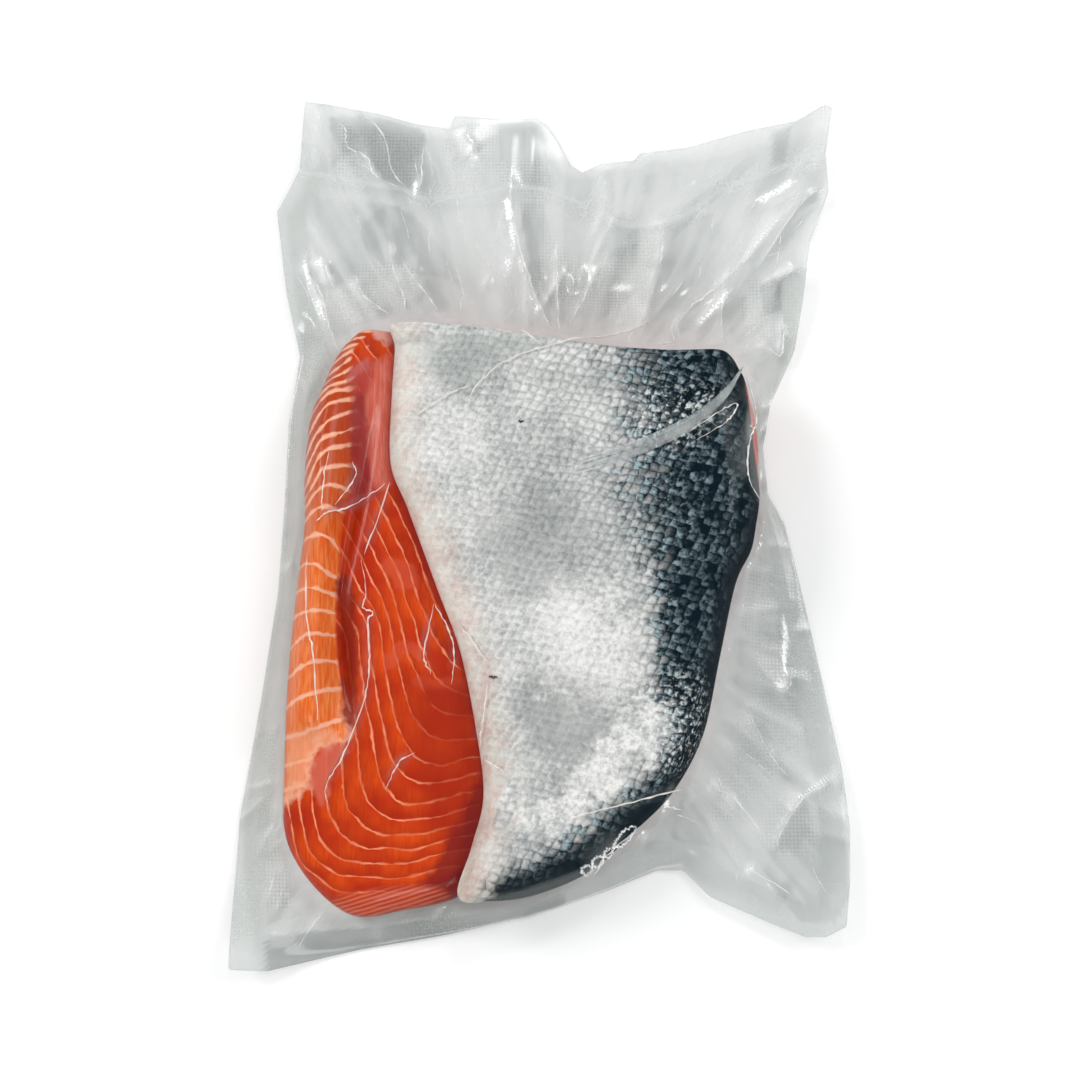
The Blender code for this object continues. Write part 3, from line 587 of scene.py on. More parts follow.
def skin_material(name):
    """Painted gleams and shade on silver, the dark back over it scale by scale, then the scales' dark edges.
    """
    material, tree, shader, place = blank(name)
    names = ("back", "belly", "spine", "cut_rim", *SKIN_PATCHES)
    fact = {n: add(tree, "Attribute", out=2, attribute_name=n) for n in names}
    warp = add(tree, "TexNoise", {"Vector": place, "Scale": 1 / 22, "Detail": 1.0}, out=1)
    warp = add(tree, "VectorMath", {0: warp, 1: (6, 6, 0)}, operation="MULTIPLY")
    lattice = add(tree, "VectorMath", {0: place, 1: warp}, operation="ADD")
    jag = add(tree, "TexNoise", {"Vector": place, "Scale": 1 / 2.6, "Detail": 2.0}, out=1)
    lattice = add(tree, "VectorMath", {0: jag, 1: (1.6, 1.6, 0), 2: lattice}, operation="MULTIPLY_ADD")
    lattice = add(tree, "Mapping", {"Vector": lattice, "Rotation": (0, 0, -SCALE_TURN)})
    sizes = (DIAMOND / SCALE_LONG, DIAMOND / SCALE_WIDE, 0)
    lattice = add(tree, "Mapping", {"Vector": lattice, "Scale": sizes, "Rotation": (0, 0, math.radians(45))})
    cells = {"Vector": lattice, "Scale": 1.0, "Randomness": 0.34}
    rim = add(tree, "TexVoronoi", cells, feature="DISTANCE_TO_EDGE")
    rim = add(tree, "MapRange", {0: rim, 1: 0.05, 2: 0.27, 3: 1.0, 4: 0.0})
    each = add(tree, "TexVoronoi", cells, out=1, feature="F1")
    centre = each.node.outputs["Position"]
    each = add(tree, "SeparateColor", {0: each})
    lean = add(tree, "VectorMath", {0: lattice, 1: centre}, operation="SUBTRACT")
    lean = add(tree, "VectorMath", {0: lean, 1: TO_TAIL}, out=1, operation="DOT_PRODUCT")
    crinkle = add(tree, "TexNoise", {"Vector": place, "Scale": 1 / CRINKLE, "Detail": 4.0, "Roughness": 0.62})
    glitter = add(tree, "MapRange", {0: crinkle, 1: 0.36, 2: 0.66})
    cloud = add(tree, "TexNoise", {"Vector": place, "Scale": 1 / 26, "Detail": 4.0, "Roughness": 0.6})
    cloud = add(tree, "MapRange", {0: cloud, 1: 0.38, 2: 0.62, 3: 0.08, 4: 0.46})
    shine = add(tree, "Math", {0: glitter, 1: 0.44, 2: cloud}, operation="MULTIPLY_ADD")
    # The silver too is painted lighter towards each scale's tail side, as painted light and shade
    shine = add(tree, "Math", {0: lean, 1: 0.36, 2: shine}, operation="MULTIPLY_ADD", use_clamp=True)
    silver = {0: shine, 6: colour(SILVER_SHADE), 7: colour(SILVER_BRIGHT)}
    silver = add(tree, "Mix", silver, 2, data_type="RGBA")
    nets = ((-62.0, -14.0, 0.06, 0.42, SILVER_DARK), (-80.0, -45.0, 0.3, 0.0, SILVER_BRIGHT))
    for start, end, first, last, tint in nets:
        net = add(tree, "MapRange", {0: fact["back"], 1: start, 2: end, 3: first, 4: last})
        net = add(tree, "Math", {0: net, 1: rim}, operation="MULTIPLY")
        silver = add(tree, "Mix", {0: net, 6: silver, 7: colour(tint)}, 2, data_type="RGBA")
    sway = add(tree, "TexNoise", {"Vector": place, "Scale": 1 / 7, "Detail": 4.0, "Roughness": 0.65})
    sway = add(tree, "MapRange", {0: sway, 1: 0.3, 2: 0.7, 3: -9.0, 4: 9.0})
    broken = add(tree, "MapRange", {0: glitter, 3: 0.35, 4: 1.0})
    # The darker patches are painted shade and the gleams painted highlights: patch, reach, colour and
    # strength
    shades = (
        ("hollow_north", 8.0, SILVER_DARK, 0.42),
        ("hollow", 9.0, SILVER_DARK, 0.6),
        ("gleam", 6.0, SILVER_BRIGHT, 0.95),
        ("gleam_middle", 7.0, SILVER_BRIGHT, 0.7),
        ("gleam_north", 8.0, SILVER_BRIGHT, 0.35),
    )
    for patch, reach, tint, strength in shades:
        share = add(tree, "Math", {0: fact[patch], 1: sway}, operation="ADD")
        share = {0: share, 1: -reach, 2: reach, 4: strength}
        share = add(tree, "MapRange", share, interpolation_type="SMOOTHSTEP")
        if tint == SILVER_BRIGHT:
            share = add(tree, "Math", {0: share, 1: broken}, operation="MULTIPLY")
        silver = add(tree, "Mix", {0: share, 6: silver, 7: colour(tint)}, 2, data_type="RGBA")
    blotch = add(tree, "MapRange", {0: sway, 1: -4.0, 2: 7.0})
    cream = add(tree, "Mix", {0: blotch, 6: colour(BELLY_CREAM), 7: colour(BELLY_PINK)}, 2, data_type="RGBA")
    on_belly = add(tree, "MapRange", {0: fact["belly"], 1: 1.0, 2: 17.0, 3: 0.75, 4: 0.0})
    silver = add(tree, "Mix", {0: on_belly, 6: silver, 7: cream}, 2, data_type="RGBA")
    ragged = add(tree, "MapRange", {0: each, 3: -7.0, 4: 7.0})
    depth = add(tree, "Math", {0: fact["back"], 1: ragged}, operation="ADD")
    # Each scale is painted lighter towards the tail: a painted light and shade across it
    painted_scale_light = add(tree, "MapRange", {0: lean, 1: -0.4, 2: 0.45, 3: 0.12, 4: 1.0})
    lit = add(tree, "Math", {0: each, 1: painted_scale_light}, operation="MULTIPLY")
    lit = add(tree, "Math", {0: lit, 1: glitter}, operation="MULTIPLY")
    lit = add(tree, "MapRange", {0: lit, 1: 0.02, 2: 0.5})
    far = add(tree, "MapRange", {0: depth, 1: 4.0, 2: 30.0, 3: 1.15, 4: 0.42})
    lit = add(tree, "Math", {0: lit, 1: far}, operation="MULTIPLY")
    rolled = add(tree, "MapRange", {0: fact["spine"], 1: 3.0, 2: 11.0})
    lit = add(tree, "Math", {0: lit, 1: rolled}, operation="MULTIPLY", use_clamp=True)
    dark = add(tree, "Mix", {0: lit, 6: colour(BACK_DARK), 7: colour(BACK_SCALE)}, 2, data_type="RGBA")
    on_back = add(tree, "MapRange", {0: depth, 1: -9.0, 2: 9.0}, interpolation_type="SMOOTHSTEP")
    look = add(tree, "Mix", {0: on_back, 6: silver, 7: dark}, 2, data_type="RGBA")
    # Sparkles: painted reflections of the film on a few patches of the back
    sparkle = add(tree, "Math", {0: fact["sparkle"], 1: fact["sparkle_top"]}, operation="MAXIMUM")
    sparkle = add(tree, "MapRange", {0: sparkle, 1: -5.0, 2: 5.0})
    facet = add(tree, "MapRange", {0: crinkle, 1: 0.52, 2: 0.6})
    sparkle = add(tree, "Math", {0: sparkle, 1: facet}, operation="MULTIPLY")
    sparkle = add(tree, "Math", {0: sparkle, 1: painted_scale_light}, operation="MULTIPLY", use_clamp=True)
    look = add(tree, "Mix", {0: sparkle, 6: look, 7: colour(SPARKLE)}, 2, data_type="RGBA")
    drawn = add(tree, "MapRange", {0: fact["back"], 1: -12.0, 2: 6.0, 4: 0.95})
    lost = add(tree, "MapRange", {0: crinkle, 1: 0.42, 2: 0.6, 3: 1.0, 4: 0.6})
    # The dark edges are strongest on each scale's trailing side, a painted shadow under the scale
    trailing_shadow = add(tree, "MapRange", {0: lean, 1: -0.35, 2: 0.35, 3: 1.0, 4: 0.3})
    for share in (lost, trailing_shadow, rim):
        drawn = add(tree, "Math", {0: drawn, 1: share}, operation="MULTIPLY")
    for share, tint in ((drawn, BACK_DARK), (fact["cut_rim"], CUT_RIM)):
        look = add(tree, "Mix", {0: share, 6: look, 7: colour(tint)}, 2, data_type="RGBA")
    tree.links.new(look, shader.inputs["Base Color"])
    grain = add(tree, "TexNoise", {"Vector": place, "Scale": 1 / CRINKLE, "Detail": 2.0})
    relief = add(tree, "Bump", {"Height": grain, "Strength": 0.6, "Distance": 0.0004})
    tree.links.new(relief, shader.inputs["Normal"])
    shader.inputs["Roughness"].default_value = SKIN_ROUGHNESS
    shader.inputs["Specular IOR Level"].default_value = 0.0
    shader.inputs["Coat Weight"].default_value = SKIN_COAT
    shader.inputs["Coat Roughness"].default_value = WET_ROUGHNESS
    return material


SKIN_MATERIAL = skin_material("salmon skin with scales")
SKIN_AROUND = 420
outline = evenly(LOWER, SKIN_AROUND)
low_x, low_y = rings(LOWER_MIDDLE, outline, (0, 1, 2, 3.5, 5.5, 8, 12), 14)
skin_under = np.stack([low_x, low_y, SKIN_BASE + keel(low_x, low_y)], -1)
skin_over = skin_under + (0, 0, LOWER_SKIN + LAYER_GAP / 2)
rows = np.concatenate([skin_over[::-1], skin_under])
x, y = rows[..., 0], rows[..., 1]
facts = {"back": x - 60, "belly": distance(x, y, curve(SHOWN_EDGE, 6))[0], "spine": 90.0, "cut_rim": 0.0}
facts |= dict.fromkeys(SKIN_PATCHES, FAR_OFF)
lower_skin = piece("salmon_lower_skin", rows, facts, SKIN_MATERIAL)
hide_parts("lower_skin")

UPPER_DEPTHS = (0, 0.2, 0.6, 1.2, 2, 3, 4, 5.2, 6.5, 8, 9.5, 11, 12.5, 14, 15.5, 17, 18.5)
outline = evenly(UPPER, SKIN_AROUND)[::-1]
x, y = rings(UPPER_MIDDLE, outline, UPPER_DEPTHS, 60)
skin_over = np.stack([x, y, upper_top(x, y)], -1)
skin_under = drop(skin_over, UPPER_SKIN)
rows = np.concatenate([skin_over[::-1], skin_under[:18:3]])
x, y = rows[..., 0], rows[..., 1]
fade = FADE_LONG + (FADE_SHORT - FADE_LONG) * smooth((FADE_FROM - y) / FADE_OVER)
facts = {"back": inside(x, y, curve(DARK_BACK, 4, closed=True)) * fade}
facts["belly"] = distance(x, y, BELLY)[0]
facts["spine"] = distance(x, y, BACK)[0] * (1 - 0.3 * smooth((-105 - y) / 15))
facts["cut_rim"] = smooth(2 * (RIM_WIDTH - facts["spine"])) * smooth((y - 2) / 24) * smooth((50 - y) / 5)
for patch, loop in SKIN_PATCHES.items():
    facts[patch] = inside(x, y, curve(loop, 4, closed=True))
upper_skin = piece("salmon_upper_skin", rows, facts, SKIN_MATERIAL)
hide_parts("upper_skin")

# The upper fillet's flesh is the same raw muscle, cut from the other side of a fish. It lies under its
# skin, and is seen only as the cut wall at the edge.

flesh_over = drop(skin_over, UPPER_SKIN + LAYER_GAP / 2)
low_x, low_y = rings(UPPER_MIDDLE, flesh_over[0, :, :2], (0, 3, 6, 9, 13), 2)
flesh_under = np.stack([low_x, low_y, upper_underside(low_x, low_y)], -1)
wall = [flesh_under[0] + (flesh_over[0] - flesh_under[0]) * share for share in (0.75, 0.5, 0.25)]
rows = np.concatenate([flesh_over[::4][::-1], np.array(wall), flesh_under])
x, y, z = rows[..., 0], rows[..., 1], rows[..., 2]
facts = {"sheet": x / 5 + z / 9, "sheet_gap": 5.0, "band": 0.5, "band_gap": 5.0}
facts |= {"flap": -9.0, "beside_skin": 9.0}
upper_flesh = piece("salmon_upper_flesh", rows, facts, flesh_material("raw salmon muscle, cut wall", {}))
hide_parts("upper_flesh")

# The pouch: two sheets of clear polyamide and polyethylene film, a tenth of a millimetre thick,
# heat-sealed at the rim. The air is drawn out, so the upper one is pressed on the fish.

POUCH_TOP = (
    (-101, 178), (-91, 177), (-69, 173), (-55, 169), (-40, 167), (-38, 173), (-17, 172), (-4, 173),
    (1, 170), (6, 162), (11, 151), (16, 148), (24, 152), (38, 153), (40, 156), (61, 158), (86, 165),
    (106, 169), (118, 176),
)
POUCH_RIGHT = (
    (121, 175), (118, 155), (119, 139), (110, 115), (107, 93), (103, 70), (93, 48), (89.5, 30), (91, 10),
    (98, -3), (102, -23), (111, -67), (117, -100), (119, -123), (118, -145),
)
POUCH_BOTTOM = (
    (116, -161), (108, -165), (100, -165), (85, -159), (64, -150), (54, -140), (44, -140), (24, -148),
    (-6, -158), (-41, -165), (-71, -170), (-107, -178),
)
POUCH_LEFT = (
    (-121, -177), (-121, -155), (-120, -120), (-113, -73), (-107.5, -30), (-106, 2), (-105, 40),
    (-101, 68), (-107, 94), (-112, 130), (-103, 149),
)
FISH_MIDDLE = (-10, -35)
# In mm: how the margin waves and lifts, the film's height over the table and the fish, how far it spans
# freely from the fish to the table, and the width of the side seals
RIM_FLAT, RIM_RAMP, RIM_WAVE, CORNER_LIFT = 6.0, 45.0, 2.8, 6.0
FILM_LIFT, FILM_GAP, FILM_SPAN = 1.1, 0.7, 16.0
SEAL_BAND = 11.0
FILM_AROUND, FILM_RINGS, DRAPE_ROUNDS = 700, 118, 700


def from_fish(x, y):
    """Distance out from the nearer fillet's outline, and 0 inside it."""
    return np.minimum(np.maximum(-inside(x, y, LOWER), 0), np.maximum(-inside(x, y, UPPER), 0))


def margin_height(x, y):
    """Low waves, two sines that grow away from the fish, and a lift at each corner by fourth powers."""
    wave = 1 + 0.6 * np.sin(x / 19 + y / 41) + 0.4 * np.sin(y / 17 - x / 30)
    corner = np.clip(np.abs(x) / 115, 0, 1) ** 4 * np.clip(np.abs(y) / 170, 0, 1) ** 4
    return smooth((from_fish(x, y) - RIM_FLAT) / RIM_RAMP) * (RIM_WAVE * wave + CORNER_LIFT * corner)


# Pinched creases, by where they lie: from the cut end to the seal, in the right margin and at the bottom
MARGIN_CREASES = (
    ((-100, 116), (-98, 103), (-93, 95), (-89, 81), (-84, 67)),
    ((-94, 111), (-87, 96)),
    ((-65, 118), (-63, 105), (-58, 91), (-57, 83)),
    ((-60, 110), (-54, 100), (-48, 91), (-42, 80)),
    ((-79, 103), (-74, 92), (-62, 81)),
    ((-91, 174), (-84, 166), (-83, 159), (-75, 154), (-71, 146), (-59, 140)),
    ((-78, 174), (-68, 164), (-64, 148), (-57, 140)),
    ((-51, 159), (-52, 142), (-55, 140)),
    ((-36, 168), (-32, 161), (-28, 156)),
    ((-23, 148), (-15, 142), (-14, 131), (-11, 116), (-6, 97), (-2, 85), (4, 73)),
    ((-10, 112), (-5, 96), (3, 72)),
    ((5, 117), (5, 97), (6, 73)),
    ((24, 110), (18, 96), (10, 77)),
    ((54, 71), (57, 84), (82, 107), (108, 138)),
    ((88, 105), (107, 133), (118, 141)),
    ((89, 98), (107, 105)),
    ((98, 87), (98, 74), (96, 67), (86, 74)),
    ((72, 70), (73, 87), (78, 97)),
    ((50, 129), (49, 115), (48, 106)),
    ((62, -106), (75, -114), (91, -134)),
    ((45, -115), (53, -117)),
    ((91, -134), (91, -127), (100, -113), (109, -107), (115, -101)),
    ((77, -138), (95, -149)),
    ((78, -74), (88, -94), (98, -107)),
    ((92, -71), (97, -68), (98, -61)),
    ((18, -142), (20, -139), (23, -134), (36, -123)),
    ((79, 51), (82, 42), (83, 34), (80, 26), (78, 16), (79, 7), (85, 0)),
)
FISH_CREASES = (
    ((-10, 69), (-1, 61)),
    ((-30, 37), (-28, 44), (-19, 53), (-6, 59), (6, 62), (23, 69), (40, 78), (43, 81)),
    ((-50, 36), (-38, 43), (-29, 46)),
    ((-34, -45), (-22, -61)),
    ((-22, -69), (-24, -85), (-25, -93)),
    ((-13, -95), (-9, -90)),
    ((-23, -98), (-14, -104)),
    ((9, -120), (33, -114), (59, -107)),
    ((55, 26), (67, 34), (74, 38), (73, 34), (68, 29), (58, 23)),
    ((-85, 22), (-87, 6), (-87, -2)),
    ((-76, 19), (-75, 13), (-82, 1)),
    ((-63, 10), (-77, 1), (-86, -3), (-89, -6)),
    ((-61, 10), (-71, -18)),
    ((-72, -20), (-70, -33), (-71, -39), (-67, -41), (-69, -45), (-68, -60), (-70, -76), (-78, -97),
     (-84, -108), (-83, -117)),
    ((-93, -20), (-92, -43), (-89, -58), (-87, -83)),
    ((-43, -38), (-47, -57), (-44, -65)),
    ((-43, -38), (-37, -49), (-35, -58), (-36, -69)),
    ((-61, -109), (-56, -99), (-50, -95)),
)
SEAL_LINE = (
    (-103, 148), (-89, 146), (-68, 142), (-59, 140), (-51, 136), (-31, 137), (-10, 141), (3, 139),
    (19, 132), (32, 125), (46, 126), (60, 130), (75, 140), (92, 146), (104, 151), (118, 154),
)
CREASE_RISE, CREASE_WIDTH, FISH_CREASE_RISE, FISH_CREASE_WIDTH = 1.1, 4.0, 0.35, 1.2
# Random wrinkles, from the least to the most of each: angle round the fish's middle, start as a share of
# the way to the rim, length, turn, rise and width
WRINKLES, WRINKLE_SEED = 150, 11
WRINKLE_LEAST, WRINKLE_MOST = (0, 0.6, 12, -0.6, 0.2, 1.5), (6.283, 1.0, 55, 0.6, 1.0, 5.0)
# The side that the window's light comes from: slopes turned to it are bright
SHEEN_FROM = (-0.8, 0.6)
# The drape: a grid of heights held up by the fish and the table. Each round sets a free point to the mean
# of its neighbours, drawn a little towards the margin's height, so the film falls from the fish in a curve.
GRID = 1.0
grid_x = np.arange(-125, 126, GRID)
grid_y = np.arange(-182, 183, GRID)
x, y = np.meshgrid(grid_x, grid_y)
in_upper, in_lower = inside(x, y, UPPER), inside(x, y, LOWER)
fish = np.where(in_lower > -0.3, lower_top(x, y), 0)
fish = np.maximum(fish, np.where(in_upper > -0.3, upper_top(x, y), 0))
for shift in ((0, 1), (0, -1), (1, 0), (-1, 0)):
    fish = np.maximum(fish, np.roll(fish, shift, axis=(0, 1)))
margin = margin_height(x, y) + FILM_LIFT
creases = np.zeros_like(x)
crease_kinds = (
    (MARGIN_CREASES, CREASE_RISE, CREASE_WIDTH), (FISH_CREASES, FISH_CREASE_RISE, FISH_CREASE_WIDTH),
)
for lines, rise, width in crease_kinds:
    for line in lines:
        gap, share = distance(x, y, curve(line, 4))
        creases += rise * np.exp(-gap / width) * smooth(4 * share) * smooth(4 * (1 - share))
random = np.random.default_rng(WRINKLE_SEED)
for angle, start, length, turn, rise, width in random.uniform(WRINKLE_LEAST, WRINKLE_MOST, (WRINKLES, 6)):
    heading = np.array([math.cos(angle), math.sin(angle)])
    begin = np.array(FISH_MIDDLE) + heading * start * (100 + 75 * abs(heading[1]))
    end = begin + length * np.array([math.cos(angle + turn), math.sin(angle + turn)])
    gap, share = distance(x, y, np.array([begin, end]))
    fold = rise * np.exp(-gap / width) * smooth(2 * share) * smooth(2 * (1 - share))
    creases += np.where(fish > 0, 0, fold)
held = np.maximum(np.where(fish > 0, fish + FILM_GAP, 0), margin)
film = held.copy()
pull = (GRID / FILM_SPAN) ** 2
for _ in range(DRAPE_ROUNDS):
    around = film[:-2, 1:-1] + film[2:, 1:-1] + film[1:-1, :-2] + film[1:-1, 2:]
    film[1:-1, 1:-1] = np.maximum(held[1:-1, 1:-1], (around + pull * margin[1:-1, 1:-1]) / (4 + pull))
film += creases
slope_y, slope_x = np.gradient(creases, GRID)
sheen = -SHEEN_FROM[0] * slope_x - SHEEN_FROM[1] * slope_y


def on_grid(values, x, y):
    """Values of the grid at any place, by the shares of the four nearest."""
    column = np.clip((x - grid_x[0]) / GRID, 0, len(grid_x) - 1.001)
    row = np.clip((y - grid_y[0]) / GRID, 0, len(grid_y) - 1.001)
    i, j = column.astype(int), row.astype(int)
    u, v = column - i, row - j
    low = (1 - u) * values[j, i] + u * values[j, i + 1]
    high = (1 - u) * values[j + 1, i] + u * values[j + 1, i + 1]
    return (1 - v) * low + v * high


# Polyamide film, cast clear and embossed in fine squares so that air can leave: it shows as grey haze
# in air and goes clear where it is wet and pressed on the fish. Folds turned to the light are painted
# white and those turned away painted darker: painted highlight and shade.
FILM_COLOUR, FILM_SHADE, FILM_BRIGHT = "#B6BDB9", "#7A8380", "#FFFFFF"
FILM_IOR, FILM_ROUGHNESS = 1.51, 0.14
# How much the film hides: wet, in air, sealed and over the veiled end, then more on its rim, on bright and
# dim folds, on the embossed squares and in a glint
ALPHA_WET, ALPHA_AIR, ALPHA_SEALED, ALPHA_VEIL = 0.005, 0.25, 0.40, 0.28
ALPHA_RIM, ALPHA_BRIGHT, ALPHA_DIM, ALPHA_EMBOSS, ALPHA_GLINT = 0.2, 0.25, 0.2, 0.34, 0.7
# The real embossing is finer, under a millimetre from square to square, and is drawn coarser to show
EMBOSS_PITCH = 1.5
BUBBLE = 4.2
# Pleats fan out from the fish, painted lighter and darker as painted light and shade: how many noise
# cells to a radian, how long they are, and how strong
FAN, PLEAT_LENGTH, PLEAT_TONE = 30.0, 75.0, 0.11
MOTTLE = 0.05
TONE_FROM, TONE_OVER = 0.02, 0.23


def film_material():
    """Haze and painted light and shade from the mesh, then embossed squares, glints, bubbles, seal line."""
    material, tree, shader, place = blank("cast film, upper")
    names = ("haze", "bright", "dim", "sheen", "quilt", "trapped", "seal")
    fact = {n: add(tree, "Attribute", out=2, attribute_name=n) for n in names}
    squares = []
    for axis in "XY":
        wave = {"Vector": place, "Scale": WAVE_LENGTH / EMBOSS_PITCH}
        squares.append(add(tree, "TexWave", wave, out=1, bands_direction=axis))
    emboss = add(tree, "Math", {0: squares[0], 1: squares[1]}, operation="MULTIPLY")
    emboss = add(tree, "Math", {0: emboss, 1: fact["quilt"]}, operation="MULTIPLY")
    ragged = add(tree, "TexNoise", {"Vector": place, "Scale": 1 / 1.3, "Detail": 2.0})
    ragged = add(tree, "MapRange", {0: ragged, 1: 0.3, 2: 0.7, 3: -0.09, 4: 0.09})
    turned = add(tree, "Math", {0: fact["sheen"], 1: ragged}, operation="ADD")
    glint = add(tree, "MapRange", {0: turned, 1: 0.235, 2: 0.28})
    # Trapped air by the seal: bubbles whose rims are painted highlights
    bubble = add(tree, "TexVoronoi", {"Vector": place, "Scale": 1 / BUBBLE}, feature="DISTANCE_TO_EDGE")
    bubble = add(tree, "MapRange", {0: bubble, 1: 0.02, 2: 0.08, 3: 0.55, 4: 0.0})
    bubble = add(tree, "Math", {0: bubble, 1: fact["trapped"]}, operation="MULTIPLY")
    band = add(tree, "MapRange", {0: fact["seal"], 1: 0.9, 2: 1.6, 3: 0.25, 4: 0.0})
    for other in (bubble, band):
        glint = add(tree, "Math", {0: glint, 1: other}, operation="MAXIMUM")
    haze = add(tree, "Math", {0: emboss, 1: ALPHA_EMBOSS, 2: fact["haze"]}, operation="MULTIPLY_ADD")
    haze = add(tree, "Math", {0: glint, 1: ALPHA_GLINT, 2: haze}, operation="MULTIPLY_ADD", use_clamp=True)
    tree.links.new(haze, shader.inputs["Alpha"])
    bright = add(tree, "Math", {0: fact["bright"], 1: glint}, operation="MAXIMUM")
    tint = colour(FILM_COLOUR)
    for share, code in ((fact["dim"], FILM_SHADE), (bright, FILM_BRIGHT)):
        tint = add(tree, "Mix", {0: share, 6: tint, 7: colour(code)}, 2, data_type="RGBA")
    tree.links.new(tint, shader.inputs["Base Color"])
    shader.inputs["Roughness"].default_value = FILM_ROUGHNESS
    shader.inputs["IOR"].default_value = FILM_IOR
    return material


CHANCE = np.random.default_rng(WRINKLE_SEED + 1).random((256, 256))


def cloudy(u, v, octaves):
    """Soft random numbers from 0 to 1, as lattices of random values blended between their corners.

    Each lattice is twice as fine as the last and half as strong.
    """
    made = np.zeros_like(u)
    for octave in range(octaves):
        a, b = (w * 2**octave + 31.7 * octave + 400 for w in (u, v))
        i, j = a.astype(int), b.astype(int)
        s, t = smooth(a - i), smooth(b - j)
        near = CHANCE[i % 256, j % 256] * (1 - s) + CHANCE[(i + 1) % 256, j % 256] * s
        far = CHANCE[i % 256, (j + 1) % 256] * (1 - s) + CHANCE[(i + 1) % 256, (j + 1) % 256] * s
        made += (near * (1 - t) + far * t) / 2**octave
    return made / (2 - 2.0 ** (1 - octaves))


# Where the embossed squares show most
QUILTED = (
    ((-90, 172), (-69, 168), (-49, 165), (-52, 140), (-61, 142), (-90, 145)),
    ((-31, 153), (0, 157), (6, 140), (0, 129), (-19, 140)),
    ((22, 111), (40, 113), (41, 91), (27, 87)),
    ((84, -22), (103, -17), (111, -74), (100, -97), (72, -124), (61, -122), (79, -74)),
    ((-110, -128), (-99, -130), (-95, -157), (-110, -156)),
)
# Flat facets between folds, painted lighter or darker than the film round them as painted highlight
# and shade: their tone, then their loop
FACETS = (
    (-0.2, ((-91, 172), (-78, 173), (-62, 170), (-50, 166), (-50, 148), (-57, 140), (-68, 144), (-76, 156),
            (-82, 156), (-90, 148))),
    (0.1, ((-98, 176), (-94, 175), (-94, 148), (-99, 148))),
    (-0.1, ((-78, 124), (-66, 135), (-54, 129), (-41, 112), (-33, 96), (-47, 101), (-68, 107), (-75, 114))),
    (0.27, ((-33, 165), (-27, 153), (-33, 154))),
    (0.27, ((-18, 136), (-14, 136), (-13, 126), (-16, 125))),
    (0.05, ((-18, 136), (-14, 136), (-9, 111), (3, 71), (2, 71), (-12, 104))),
    (-0.14, ((-12, 135), (0, 134), (5, 113), (5, 79), (-6, 108))),
    (-0.2, ((89, 98), (99, 101), (98, 86), (90, 84))),
    (0.12, ((57, 84), (84, 108), (89, 105), (107, 132), (117, 135), (90, 112), (78, 91), (64, 78))),
    (-0.12, ((51, 129), (75, 145), (86, 156), (91, 152), (65, 129), (53, 117))),
    (-0.2, ((95, 165), (104, 167), (101, 149), (95, 150))),
    (-0.18, ((24, 150), (29, 150), (31, 127), (29, 125))),
    (0.1, ((37, 150), (44, 153), (36, 127), (32, 129))),
    (-0.12, ((74, 91), (84, 94), (82, 68), (77, 62))),
    (0.12, ((77, -53), (96, -50), (97, -70), (92, -69))),
    (0.16, ((111, -103), (115, -98), (118, -121), (98, -112))),
    (-0.12, ((94, -119), (102, -111), (105, -123), (97, -134))),
    (-0.12, ((47, -118), (61, -112), (68, -132), (50, -129))),
    (-0.08, ((67, -83), (88, -83), (98, -107), (87, -105))),
    (0.14, ((88, 7), (93, 4), (99, -11), (102, -34), (98, -34), (93, -13), (88, -1))),
    (0.27, ((94, -40), (96, -39), (98, -50), (96, -64), (94, -58))),
    (-0.1, ((80, -18), (87, -18), (77, -66), (73, -70))),
    (0.27, ((-100, -147), (-97, -153), (-98, -154), (-101, -150))),
    (0.14, ((-110, -161), (-95, -163), (-98, -170), (-106, -170))),
    (-0.12, ((-109, -140), (-99, -140), (-93, -157), (-108, -161))),
    (0.14, ((-102, 118), (-101, 113), (-89, 81), (-93, 82), (-99, 96))),
    (0.27, ((-93, 110), (-90, 108), (-86, 96), (-89, 98))),
    (0.27, ((-66, 118), (-61, 115), (-62, 111), (-65, 112))),
    (0.2, ((-44, 81), (-41, 82), (-40, 78), (-46, 78))),
    (0.1, ((23, 113), (28, 115), (12, 74), (10, 74))),
    (-0.1, ((28, 115), (40, 118), (39, 96), (15, 72), (13, 73))),
    (0.27, ((86, 135), (91, 132), (107, 143), (103, 145))),
    (0.27, ((60, 144), (63, 144), (64, 140), (62, 140))),
    (-0.1, ((40, 146), (57, 151), (55, 135), (44, 130))),
    (0.08, ((-38, 167), (-19, 169), (-21, 157), (-31, 148), (-36, 157))),
    (-0.12, ((-19, 168), (-4, 170), (5, 157), (6, 140), (-10, 140), (-19, 153))),
    (-0.13, ((100, -112), (117, -105), (118, -150), (112, -160), (98, -160), (84, -140))),
    (-0.08, ((-98, 138), (-60, 133), (-52, 112), (-70, 96), (-92, 104))),
    (-0.09, ((34, 122), (70, 130), (84, 110), (60, 85), (40, 88))),
    (-0.25, ((-108, -164), (-60, -160), (-38, -157), (-10, -152), (8, -148), (8, -154), (-41, -166),
             (-71, -171), (-108, -179))),
)
